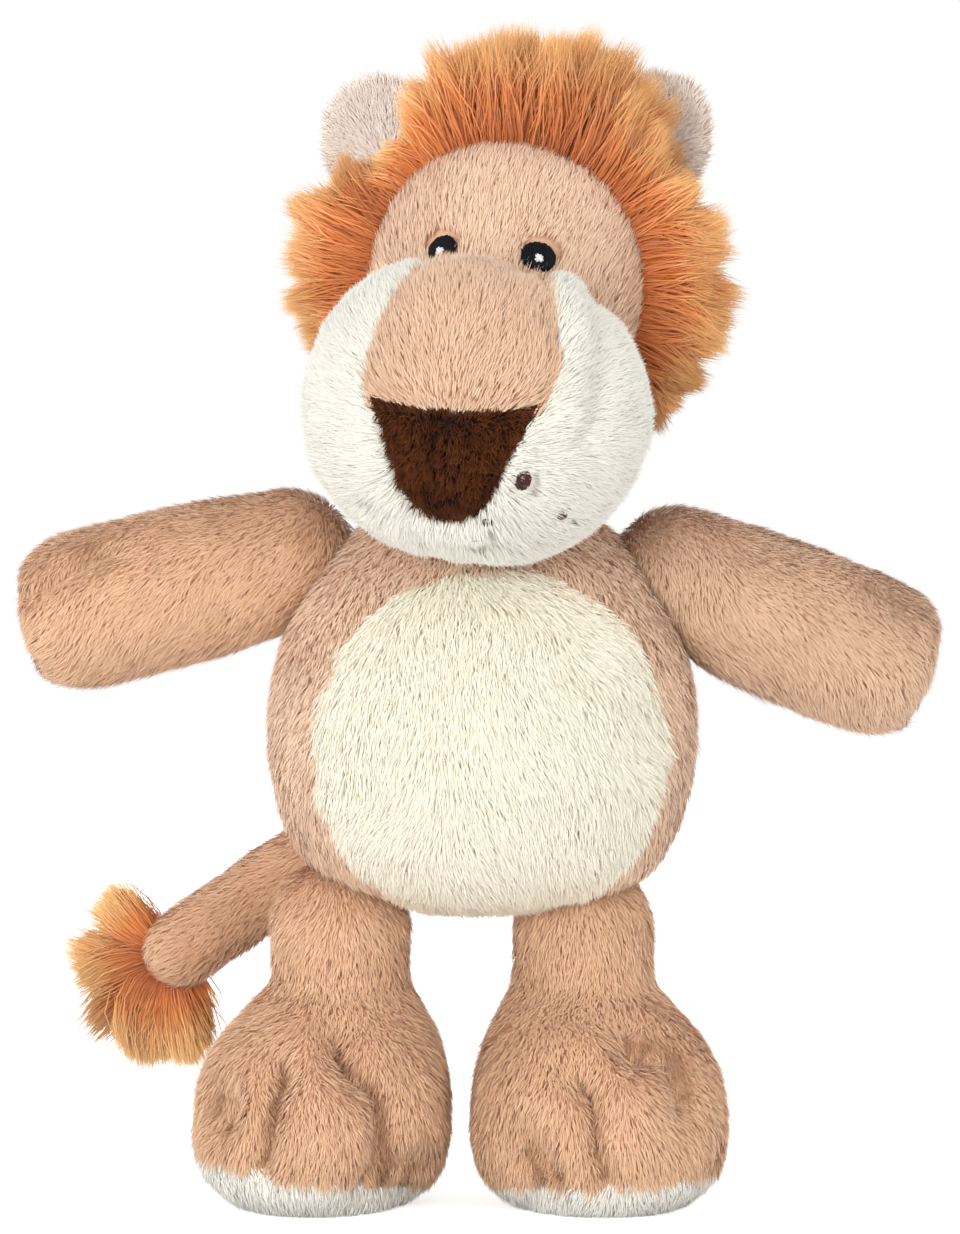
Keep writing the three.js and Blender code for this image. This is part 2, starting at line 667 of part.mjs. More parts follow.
/** A leg with its foot, from the sole up to the round top at the hip. */
function legForm(creases, outward, sides, rows) {
  const knots = footStationShares;
  const sizes = new THREE.CatmullRomCurve3(knots.map(([, w, d, f]) => point(w, d, f)));
  const heights = new THREE.CatmullRomCurve3(knots.map(([h]) => point(h, 0, 0)));
  const creaseAt = (height) => {
    const swell = Math.exp(-(((height - toeCreaseHeight) / toeCreaseRise) ** 2));
    return (turn) => creases.reduce((sum, degrees) => {
      const away = Math.acos(Math.cos(turn - radians(degrees)));
      return sum + toeCreaseDepth * swell * Math.exp(-((away / radians(toeCreaseSpreadDegrees)) ** 2));
    }, 0);
  };
  const foot = Array.from({ length: rows }, (_, i) => {
    const t = i / (rows - 1);
    const size = sizes.getPoint(t);
    const height = heights.getPoint(t).x * hipHeight;
    const centre = point(size.z * outward, -size.z * footForward, height);
    return ringAt(centre, (size.x * footWidth) / 2, (size.y * footLength) / 2, sides, creaseAt(height));
  });
  const dome = Array.from({ length: domeRows + 1 }, (_, i) => {
    const angle = (Math.PI / 2) * (i / (domeRows + 1));
    return ringAt(point(0, 0, hipHeight + legRadius * Math.sin(angle)), legRadius * Math.cos(angle),
      legRadius * Math.cos(angle), sides);
  });
  return skinOver(point(outward, -footForward, 0), [...foot, ...dome], point(0, 0, hipHeight + legRadius));
}

function makeLeg(side) {
  const creases = side === "left" ? leftToeCreaseDegrees : rightToeCreaseDegrees;
  const outward = side === "left" ? footOutward : -footOutward;
  const outer = solidOf(legForm(creases, outward, legSides, legRows));
  const coarse = legForm([], outward, innerSides, innerRows);
  const shell = outer.subtract(solidOf(insetBy(coarse, plushWall)));
  const filling = solidOf(insetBy(coarse, plushWall + seatGap));
  const reach = footLength * 3;
  const tilt = radians(soleSeamTiltDegrees);
  const above = slab(reach, point(0, 0, reach / 2 + soleSeamHeight + seamGap), -tilt);
  const below = slab(reach, point(0, 0, -reach / 2 + soleSeamHeight), -tilt);
  const fromHip = (solid) => geometryOf(solid).translate(0, 0, -hipHeight);
  const up = point(0, 0, 1);
  const cover = solidOf(fromHip(shell.intersect(above)));
  const leg = group(
    piece(`${side}_leg_cover`, geometryOf(openRoot(cover, legRadius, up)), plushTan),
    piece(`${side}_sole`, fromHip(shell.intersect(below)), plushCream),
    piece(`${side}_leg_stuffing`, fromHip(filling), fibreWhite),
  );
  leg.rotation.set(0, 0, radians(side === "left" ? leftToeOutDegrees : rightToeOutDegrees));
  leg.position.copy(hipPoints[side]);
  return group(leg, seamRoll(`${side}_hip_seam`, legRadius, hipPoints[side], up));
}

/** The tail's tuft: a brush of long pile that spreads from the tail's end. */
function tuftForm(curve) {
  const end = curve.getPointAt(1).addScaledVector(curve.getTangentAt(1), -tuftOverlap);
  const along = curve.getTangentAt(1);
  const across = new THREE.Vector3().crossVectors(along, point(0, 1, 0)).normalize();
  const up = new THREE.Vector3().crossVectors(along, across);
  const sides = tuftLobes * tuftStepsPerLobe;
  const rings = tuftStationShares.map(([away, wide]) => Array.from({ length: sides }, (_, j) => {
    const turn = (2 * Math.PI * j) / sides;
    const lobe = tuftLobeDepth * Math.abs(Math.sin((turn * tuftLobes) / 2));
    const radius = wide * (tuftRadius - tuftLobeDepth + lobe);
    return end.clone().addScaledVector(along, away * tuftLength)
      .addScaledVector(across, radius * Math.cos(turn)).addScaledVector(up, radius * Math.sin(turn));
  }));
  return skinOver(end, rings, end.clone().addScaledVector(along, tuftLength));
}

function makeTail() {
  const curve = new THREE.CatmullRomCurve3(tailCurveShares.map(([span, swing, fall]) =>
    point(-tailSpan * span, tailSwingOut * swing, -tailFall * fall)));
  const length = curve.getLength();
  const formAt = (sides, rows, grow = 0) => {
    const shaft = length - tailRadius;
    const stations = Array.from({ length: rows }, (_, i) =>
      ({ distance: (shaft * (i + 1)) / rows, radius: tailRadius + grow }));
    const end = domeStations(tailRadius + grow).reverse()
      .map(({ before, radius }) => ({ distance: shaft + before, radius }));
    return limbForm(curve, tailRootRadius, [...stations, ...end], length + grow, 1, point(0, 0, 1), sides);
  };
  const { cover, filling } = stuffed(formAt, smallSides, limbRows, dotSides, fillRows);
  const tuft = largestOf(solidOf(tuftForm(curve)).subtract(solidOf(formAt(smallSides, limbRows, seamGap))));
  const back = curve.getTangentAt(0).negate();
  const tail = group(
    piece("tail_cover", geometryOf(openRoot(cover, tailRootRadius, back)), plushTan),
    piece("tail_stuffing", geometryOf(filling), fibreWhite),
    piece("tail_tuft", geometryOf(tuft), maneOrange),
  );
  tail.position.copy(tailPoint);
  return group(tail, seamRoll("tail_seam", tailRootRadius, tailPoint, point(0, -1, 0)));
}

const lion = group(
  makeBody(),
  seamRoll("neck_seam", neckRadius, neckPoint, point(0, 0, -1)),
  makeHead(),
  makeArm("right"),
  makeArm("left"),
  makeLeg("right"),
  makeLeg("left"),
  makeTail(),
);

// The origin is on the floor, under the middle of the whole lion
const extent = new THREE.Box3().setFromObject(lion, true);
const middle = extent.getCenter(new THREE.Vector3());
lion.position.set(-middle.x, -middle.y, -extent.min.z);

export default lion;
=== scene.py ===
"""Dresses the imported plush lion: stuffed skins, dense pile, mane, tuft, embroidery, camera and light.

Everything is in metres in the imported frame: +Z up, the face looks along -Y, the lion's own left is +X.
"""

import json
import logging
import math
from dataclasses import dataclass
from enum import Enum
from functools import cached_property, lru_cache, partial
from typing import Callable, Iterable, Iterator, Mapping, Sequence, TypeVar

import bmesh
import bpy
import numpy as np
from mathutils import Matrix, Vector
from mathutils.bvhtree import BVHTree


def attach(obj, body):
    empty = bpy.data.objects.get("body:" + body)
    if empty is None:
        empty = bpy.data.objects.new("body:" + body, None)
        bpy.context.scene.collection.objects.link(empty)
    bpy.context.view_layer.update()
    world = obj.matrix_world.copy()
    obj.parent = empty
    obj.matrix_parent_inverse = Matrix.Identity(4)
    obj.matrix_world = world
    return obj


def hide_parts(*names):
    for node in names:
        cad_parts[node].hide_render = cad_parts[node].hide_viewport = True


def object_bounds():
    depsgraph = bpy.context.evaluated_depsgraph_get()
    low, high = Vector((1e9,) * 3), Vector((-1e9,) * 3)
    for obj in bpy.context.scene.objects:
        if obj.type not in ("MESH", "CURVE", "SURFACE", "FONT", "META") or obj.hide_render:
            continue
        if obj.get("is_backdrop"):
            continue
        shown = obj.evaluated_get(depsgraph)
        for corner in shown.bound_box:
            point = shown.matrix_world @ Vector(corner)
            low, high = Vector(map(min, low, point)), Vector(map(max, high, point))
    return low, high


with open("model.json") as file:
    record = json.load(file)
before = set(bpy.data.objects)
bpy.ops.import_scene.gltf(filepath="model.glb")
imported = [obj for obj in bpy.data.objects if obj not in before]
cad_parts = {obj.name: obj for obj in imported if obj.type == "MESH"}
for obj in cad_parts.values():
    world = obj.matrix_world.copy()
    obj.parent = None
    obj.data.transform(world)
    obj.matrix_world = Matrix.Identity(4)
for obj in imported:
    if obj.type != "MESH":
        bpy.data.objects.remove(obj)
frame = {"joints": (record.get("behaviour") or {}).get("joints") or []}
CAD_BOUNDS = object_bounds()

log = logging.getLogger("lion")

MM = 0.001
ROUND = 2 * math.pi
TINY = 1e-18

Points = np.ndarray
Numbers = np.ndarray
Field = Callable[[Points], np.ndarray]
Knots = tuple[tuple[float, ...], ...]
Faces = tuple[tuple[int, ...], ...]
Colour = tuple[float, float, float]
Choice = TypeVar("Choice")


class Side(Enum):
    """The lion's own right and left, with the sign of their X."""

    RIGHT = -1
    LEFT = 1

    @property
    def word(self) -> str:
        """The side as it stands in node and body names."""
        return self.name.lower()

    def of(self, pair: tuple[Choice, Choice]) -> Choice:
        """Picks this side's value from a right and a left one."""
        return pair[self is Side.LEFT]


def joint_at(name: str) -> Vector:
    """Finds the centre of a joint of the record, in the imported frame."""
    return Vector(next(j["pos_m"] for j in frame["joints"] if j["name"] == name))


# Vectors, curves and noise


def unit(vectors: Points) -> Points:
    """Scales each row to length 1."""
    return vectors / np.maximum(np.linalg.norm(vectors, axis=-1, keepdims=True), 1e-12)


def turned(vectors: Points, axes: Points, angles: Numbers) -> Points:
    """Turns each vector about a unit axis of its own, by an angle of its own."""
    c, s = np.cos(angles)[:, None], np.sin(angles)[:, None]
    along = (vectors * axes).sum(1, keepdims=True) * (1 - c)
    return vectors * c + np.cross(axes, vectors) * s + axes * along


def carried(points: Points, matrix: Matrix) -> Points:
    """Moves points by a matrix."""
    m = np.array(matrix)
    return points @ m[:3, :3].T + m[:3, 3]


def bell(away: Numbers, width: float) -> Numbers:
    """Falls from 1 at no distance towards 0 at a few widths."""
    return np.exp(-((away / width) ** 2))


def smooth_curve(knots: Sequence[Sequence[float]], count: int, fineness: int = 40) -> Points:
    """Runs a smooth curve through knots.

    Args:
        knots: The points it passes through, of any dimension.
        count: How many points to return.
        fineness: Points to a knot on the curve that they are picked from.

    Returns:
        Points at equal spacing along the curve, both ends included.
    """
    p = np.asarray(knots, float)
    padded = np.vstack([2 * p[0] - p[1], p, 2 * p[-1] - p[-2]])
    t = np.linspace(0, len(p) - 1, fineness * len(p))
    i = np.minimum(t.astype(int), len(p) - 2)
    f = (t - i)[:, None]
    a, b, c, d = padded[i], padded[i + 1], padded[i + 2], padded[i + 3]
    fine = 0.5 * (2 * b + (c - a) * f + (2 * a - 5 * b + 4 * c - d) * f**2 + (3 * b - a - 3 * c + d) * f**3)
    run = np.concatenate([[0], np.cumsum(np.linalg.norm(np.diff(fine, axis=0), axis=1))])
    wanted = np.linspace(0, run[-1], count)
    return np.stack([np.interp(wanted, run, column) for column in fine.T], 1)


CELL_PRIMES = (73856093, 19349663, 83492791)
SEED_PRIME = 2654435761
MIX_PRIME = 1274126177
HASH_TOP = 0xFFFFFF
FIRST_CELL = 1000


def hashed(cells: np.ndarray, seed: int) -> Numbers:
    """Gives each cell of a grid a fixed number that looks random.

    Args:
        cells: The cells, as whole numbers from 0 up, three to a cell.
        seed: Which set of numbers to give.

    Returns:
        A number from 0 to 1 for each cell.
    """
    h = np.uint64(seed * SEED_PRIME % 2**32)
    for column, prime in zip(np.moveaxis(cells.astype(np.uint64), -1, 0), CELL_PRIMES):
        h = h ^ column * np.uint64(prime)
    h = (h ^ (h >> np.uint64(13))) * np.uint64(MIX_PRIME)
    return ((h ^ (h >> np.uint64(16))) & np.uint64(HASH_TOP)) / float(HASH_TOP)


def noise(points: Points, size: float, seed: int) -> Numbers:
    """Gives smooth noise.

    Args:
        points: Where to take it.
        size: About how large its features are.
        seed: Which noise of that size.

    Returns:
        A number from -1 to 1 for each point.
    """
    at = points / size + FIRST_CELL
    low = np.floor(at)
    f = at - low
    f = f * f * (3 - 2 * f)
    total = np.zeros(len(points))
    for corner in np.ndindex(2, 2, 2):
        weight = np.prod(np.where(np.array(corner) == 1, f, 1 - f), axis=1)
        total += weight * hashed(low.astype(np.int64) + np.array(corner), seed)
    return 2 * total - 1


@dataclass(frozen=True)
class Unevenness:
    """Noise of a set height and size, as things filled and sewn by hand have it."""

    height: float
    size: float
    seed: int

    def __call__(self, points: Points) -> Numbers:
        """The height at each point, up or down."""
        return self.height * noise(points, self.size, self.seed)


def clump_centres(points: Points, size: float, seed: int) -> Points:
    """Gathers points into clumps.

    Args:
        points: The points.
        size: How far apart the clumps are.
        seed: Which scatter of clumps.

    Returns:
        For each point, the nearest clump's centre.
    """
    cell = np.floor(points / size + FIRST_CELL).astype(np.int64)
    best = np.full(len(points), np.inf)
    centre = np.zeros_like(points)
    for step in np.ndindex(3, 3, 3):
        near = cell + np.array(step) - 1
        jitter = np.stack([hashed(near, seed + k) for k in range(3)], 1)
        at = (near + jitter - FIRST_CELL) * size
        far = ((at - points) ** 2).sum(1)
        closer = far < best
        best[closer] = far[closer]
        centre[closer] = at[closer]
    return centre


def distance_to_line(points: Points, line: Points, closed: bool = False) -> Numbers:
    """Measures how far 2D points are from a line of straight pieces.

    Args:
        points: The points.
        line: The line's corners.
        closed: Whether the last corner joins the first.

    Returns:
        A distance for each point.
    """
    ends = np.vstack([line, line[:1]]) if closed else line
    best = np.full(len(points), np.inf)
    for a, b in zip(ends[:-1], ends[1:]):
        run = b - a
        share = np.clip(((points - a) @ run) / max(float(run @ run), TINY), 0, 1)
        best = np.minimum(best, np.linalg.norm(points - a - share[:, None] * run, axis=1))
    return best


def within_outline(points: Points, outline: Points) -> np.ndarray:
    """Tests 2D points against a closed outline.

    Args:
        points: The points.
        outline: The outline's corners.

    Returns:
        Whether each point lies inside.
    """
    inside = np.zeros(len(points), bool)
    x, y = points.T
    for (ax, ay), (bx, by) in zip(outline, np.roll(outline, -1, axis=0)):
        crosses = (ay > y) != (by > y)
        rise = by - ay if by != ay else TINY
        inside ^= crosses & (x < (bx - ax) * (y - ay) / rise + ax)
    return inside


# Forms


@lru_cache(maxsize=None)
def ball(rows: int, sides: int) -> tuple[np.ndarray, Faces]:
    """Reads Blender's sphere as rings between two poles.

    Args:
        rows: Rings of points between the poles.
        sides: Points in a ring.

    Returns:
        For each of the sphere's points its place in a list of the low pole, the rings from low to high and
        the high pole; and the sphere's faces, in an order that is the same each run, as Blender's own isn't.
    """
    made = bmesh.new()
    bmesh.ops.create_uvsphere(made, u_segments=sides, v_segments=rows + 1, radius=1)
    at = np.array([v.co for v in made.verts])
    loops = [tuple(v.index for v in f.verts) for f in made.faces]
    faces = tuple(sorted(min(loop[k:] + loop[:k] for k in range(len(loop))) for loop in loops))
    made.free()
    row = np.rint((np.arcsin(np.clip(at[:, 2], -1, 1)) / math.pi + 0.5) * (rows + 1)).astype(int)
    angle = np.arctan2(at[:, 1], at[:, 0])
    first = angle[np.flatnonzero((row > 0) & (row <= rows))[0]]
    side = np.rint((angle - first) / ROUND * sides).astype(int) % sides
    inner = 1 + (row - 1) * sides + side
    return np.where(row == 0, 0, np.where(row > rows, rows * sides + 1, inner)), faces


@dataclass(eq=False)
class Form:
    """A closed stuffed form: Blender's sphere, of so many rings and sides, with its points put into place."""

    rows: int
    sides: int
    points: Points

    @classmethod
    def of_rings(cls, first: Points, rings: Sequence[Points], last: Points) -> "Form":
        """Makes a form from its poles and equal rings between, which go round by the right-hand rule."""
        listed = np.vstack([np.reshape(first, (1, 3)), np.reshape(rings, (-1, 3)), np.reshape(last, (1, 3))])
        rows, sides = len(rings), len(rings[0])
        return cls(rows, sides, listed[ball(rows, sides)[0]])

    @property
    def faces(self) -> Faces:
        """The faces, which look outwards."""
        return ball(self.rows, self.sides)[1]

    @cached_property
    def triangles(self) -> np.ndarray:
        """The faces cut into triangles."""
        first = [f[:3] for f in self.faces]
        return np.array(first + [(f[0], f[2], f[3]) for f in self.faces if len(f) == 4])

    @cached_property
    def tree(self) -> BVHTree:
        """The faces, sorted for a search."""
        return BVHTree.FromPolygons(self.points.tolist(), self.faces)

    def solid(self) -> bmesh.types.BMesh:
        """Makes the form as a new bmesh."""
        made = bmesh.new()
        bmesh.ops.create_uvsphere(made, u_segments=self.sides, v_segments=self.rows + 1, radius=1)
        for corner, place in zip(made.verts, self.points):
            corner.co = place
        return made

    def slopes(self) -> Points:
        """Each triangle's normal, as long as twice its area."""
        p, t = self.points, self.triangles
        return np.cross(p[t[:, 1]] - p[t[:, 0]], p[t[:, 2]] - p[t[:, 0]])

    def normals(self) -> Points:
        """Finds the outward normals at the points."""
        across = self.slopes()
        total = np.zeros_like(self.points)
        for column in self.triangles.T:
            np.add.at(total, column, across)
        return unit(total)

    def moved(self, matrix: Matrix) -> "Form":
        """The form carried by a matrix."""
        return Form(self.rows, self.sides, carried(self.points, matrix))

    def lifted(self, amount: float | Numbers | Field) -> "Form":
        """The form moved out along its normals, by one amount, one for each point or a field of amounts."""
        by = np.broadcast_to(amount(self.points) if callable(amount) else amount, len(self.points))
        return Form(self.rows, self.sides, self.points + self.normals() * by[:, None])

    def coarser(self, step: int) -> "Form":
        """The form with only every so many of its rings, and of the points in each."""
        listed = np.empty_like(self.points)
        listed[ball(self.rows, self.sides)[0]] = self.points
        rings = listed[1:-1].reshape(self.rows, self.sides, 3)[::step, ::step]
        return Form.of_rings(listed[0], rings, listed[-1])

    def _nearest(self, points: Points, margin: float) -> Iterator[tuple[int, Vector, Vector]]:
        """Finds the form's surface near points.

        Args:
            points: The points.
            margin: How far outside the form's box a point may be.

        Yields:
            For each such point its number, the way to it from the surface, and the surface's normal there.
        """
        low, high = self.points.min(0) - margin, self.points.max(0) + margin
        for i in np.flatnonzero(((points > low) & (points < high)).all(1)):
            place, normal, _, _ = self.tree.find_nearest(points[i].tolist())
            yield i, Vector(points[i]) - place, normal

    def depth(self, points: Points) -> Numbers:
        """How deep each point lies inside the form; a point outside its box gets -1."""
        found = np.full(len(points), -1.0)
        for i, away, normal in self._nearest(points, 0):
            found[i] = -away.dot(normal)
        return found

    def nearness(self, points: Points, reach: float) -> Numbers:
        """How near points come to the form from outside: 1 on it or in it, falling off over a reach."""
        near = np.zeros(len(points))
        for i, away, normal in self._nearest(points, 2.5 * reach):
            near[i] = math.exp(-((away.length / reach) ** 2)) if away.dot(normal) > 0 else 1
        return near


def ring(centre: Sequence[float], half_width: float, half_depth: float, sides: int) -> Points:
    """Makes a level ring of points, from the front round by the lion's left."""
    turn = np.linspace(0, ROUND, sides, endpoint=False)
    level = np.full(sides, centre[2])
    return np.stack([centre[0] + half_width * np.sin(turn), centre[1] - half_depth * np.cos(turn), level], 1)


def standing_form(
    profile: Knots, size: tuple[float, float, float], rows: int, sides: int, bulge: float = 0.0,
) -> Form:
    """Makes a form that stands on its first pole.

    Args:
        profile: Its half-widths and heights, as shares.
        size: Its width, depth and height.
        rows: Rings of points.
        sides: Points in a ring.
        bulge: How far its middle is pushed forward.

    Returns:
        The form, its first pole at the origin.
    """
    width, depth, height = size
    stations = smooth_curve(profile, rows + 2)
    forward = bulge * np.sin(math.pi * stations[:, 1])
    rings = [
        ring((0, -f, h * height), r * width / 2, r * depth / 2, sides)
        for (r, h), f in zip(stations[1:-1], forward[1:-1])
    ]
    return Form.of_rings(np.zeros(3), rings, np.array([0, 0, height]))


def limb_form(route: Points, radii: Numbers, depth_share: float, flat_axis: Points, sides: int) -> Form:
    """Makes a round form along a route.

    Args:
        route: Points along its middle.
        radii: Its radius at each point; the first and last points are its poles.
        depth_share: Its depth along flat_axis as a share of its radius.
        flat_axis: The direction it is flattened in, or one for each point.
        sides: Points in a ring.

    Returns:
        The form.
    """
    along = unit(np.gradient(route, axis=0))
    wide = unit(np.cross(along, np.asarray(flat_axis, float)))
    deep = np.cross(wide, along)
    turn = np.linspace(0, ROUND, sides, endpoint=False)
    rings = [
        c + r * (np.outer(np.cos(turn), d) * depth_share + np.outer(np.sin(turn), w))
        for c, r, d, w in zip(route[1:-1], radii[1:-1], deep[1:-1], wide[1:-1])
    ]
    return Form.of_rings(route[0], rings, route[-1])


def lens_form(size: tuple[float, float, float], rows: int, sides: int) -> Form:
    """Makes a ball squeezed to a lens.

    Args:
        size: Its width, depth and height.
        rows: Rings of points.
        sides: Points in a ring.

    Returns:
        The form, about the origin.
    """
    tilts = np.linspace(-math.pi / 2, math.pi / 2, rows + 2)[1:-1]
    rings = [ring((0, 0, math.sin(a)), math.cos(a), math.cos(a), sides) for a in tilts]
    round_one = Form.of_rings(np.array([0, 0, -1.0]), rings, np.array([0, 0, 1.0]))
    return Form(rows, sides, round_one.points * np.array([length / 2 for length in size]))


# Finishes


def linear(red: int, green: int, blue: int) -> tuple[float, ...]:
    """Turns a colour as seen on a screen, 0 to 255, into the numbers a shader takes."""
    shares = [c / 255 for c in (red, green, blue)]
    return (*(s / 12.92 if s <= 0.04045 else ((s + 0.055) / 1.055) ** 2.4 for s in shares), 1.0)


def feed(tree: bpy.types.NodeTree, node: bpy.types.Node, inputs: Mapping[str | int, object]) -> None:
    """Gives a node its inputs.

    Args:
        tree: The node's tree.
        node: The node.
        inputs: For each input, by name or number, the output to link it to, or else its value.
    """
    for key, value in inputs.items():
        if isinstance(value, bpy.types.NodeSocket):
            tree.links.new(value, node.inputs[key])
        else:
            node.inputs[key].default_value = value


def add_node(
    tree: bpy.types.NodeTree, kind: str, inputs: Mapping[str | int, object], **settings: str,
) -> bpy.types.Node:
    """Adds a shader node.

    Args:
        tree: Where it goes.
        kind: Its type, after the word ShaderNode.
        inputs: What it is fed.
        settings: Its own settings.

    Returns:
        The node.
    """
    node = tree.nodes.new(f"ShaderNode{kind}")
    for name, value in settings.items():
        setattr(node, name, value)
    feed(tree, node, inputs)
    return node


def add_ramp(
    tree: bpy.types.NodeTree, share: bpy.types.NodeSocket, stops: Sequence[tuple[float, Sequence[float]]],
) -> bpy.types.NodeSocket:
    """Adds a colour ramp.

    Args:
        tree: Where it goes.
        share: The output that runs it, 0 to 1.
        stops: Its places and colours.

    Returns:
        The output with its colour.
    """
    node = add_node(tree, "ValToRGB", {"Fac": share})
    elements = node.color_ramp.elements
    while len(elements) < len(stops):
        elements.new(0.5)
    for element, (place, colour) in zip(elements, stops):
        element.position = place
        element.color = colour
    return node.outputs["Color"]


def new_material(name: str) -> tuple[bpy.types.Material, bpy.types.NodeTree, bpy.types.Node]:
    """Makes a material, and gives its nodes and its surface shader with it."""
    material = bpy.data.materials.new(name)
    material.use_nodes = True
    return material, material.node_tree, material.node_tree.nodes["Principled BSDF"]


@dataclass(frozen=True)
class Finish:
    """What every finish has: its material's name and the slot of the record that it fills."""

    name: str
    slot: str

    def material(self) -> bpy.types.Material:
        """Builds the material."""
        raise NotImplementedError


@dataclass(frozen=True)
class PileFinish(Finish):
    """The look of strands: colour root to tip, times a tone that varies by strand and holds painted shade."""

    root: Colour
    middle: Colour
    tip: Colour
    deep: Colour = (0.5, 0.4, 0.33)
    dull: Colour = (0.78, 0.74, 0.7)
    bright: Colour = (1.12, 1.12, 1.12)
    middle_at: float = 0.4
    dull_at: float = 0.33
    roughness: float = 0.7
    sheen: float = 0.25
    specular: float = 0.25

    def material(self) -> bpy.types.Material:
        """Builds the material. It reads the strands' own map: along a strand, and its tone."""
        material, tree, shader = new_material(self.name)
        uv = add_node(tree, "UVMap", {}, uv_map=Strands.MAP)
        parts = add_node(tree, "SeparateXYZ", {"Vector": uv.outputs["UV"]})
        along = [(0, linear(*self.root)), (self.middle_at, linear(*self.middle)), (1, linear(*self.tip))]
        tones = [(0, (*self.deep, 1)), (self.dull_at, (*self.dull, 1)), (1, (*self.bright, 1))]
        mix = add_node(
            tree, "Mix",
            {"Factor": 1, "A": add_ramp(tree, parts.outputs["X"], along),
             "B": add_ramp(tree, parts.outputs["Y"], tones)},
            data_type="RGBA", blend_type="MULTIPLY")
        feed(tree, shader, {
            "Base Color": mix.outputs["Result"], "Roughness": self.roughness, "Sheen Weight": self.sheen,
            "Specular IOR Level": self.specular,
        })
        return material


@dataclass(frozen=True)
class BackingFinish(Finish):
    """Knitted backing cloth under the pile."""

    light: Colour
    dark: Colour
    patch_size: float = 9 * MM
    knit_size: float = 1.1 * MM
    bump: float = 0.4
    roughness: float = 0.95
    sheen: float = 0.1

    def material(self) -> bpy.types.Material:
        """Builds the material from noise in the object's own coordinates."""
        material, tree, shader = new_material(self.name)
        place = add_node(tree, "TexCoord", {}).outputs["Object"]
        patches = add_node(tree, "TexNoise", {"Vector": place, "Scale": 1 / self.patch_size})
        knit = add_node(tree, "TexVoronoi", {"Vector": place, "Scale": 1 / self.knit_size})
        bump = add_node(tree, "Bump", {
            "Height": knit.outputs["Distance"], "Strength": self.bump, "Distance": self.knit_size / 3,
        })
        colours = [(0.3, linear(*self.dark)), (0.7, linear(*self.light))]
        feed(tree, shader, {
            "Base Color": add_ramp(tree, patches.outputs["Fac"], colours), "Normal": bump.outputs["Normal"],
            "Roughness": self.roughness, "Sheen Weight": self.sheen,
        })
        return material


@dataclass(frozen=True)
class ThreadFinish(Finish):
    """Embroidery thread, with fine twist along the object's own coordinates."""

    light: Colour
    dark: Colour
    strand_size: float = 0.5 * MM
    roughness: float = 0.5
    specular: float = 0.15

    def material(self) -> bpy.types.Material:
        """Builds the material from noise in the object's own coordinates."""
        material, tree, shader = new_material(self.name)
        place = add_node(tree, "TexCoord", {}).outputs["Object"]
        twist = add_node(tree, "TexNoise", {"Vector": place, "Scale": 1 / self.strand_size})
        colours = [(0.35, linear(*self.dark)), (0.65, linear(*self.light))]
        feed(tree, shader, {
            "Base Color": add_ramp(tree, twist.outputs["Fac"], colours), "Roughness": self.roughness,
            "Specular IOR Level": self.specular,
        })
        return material


@lru_cache(maxsize=None)
def material_of(finish: Finish) -> bpy.types.Material:
    """The material of a finish, built the first time it is asked for."""
    return finish.material()


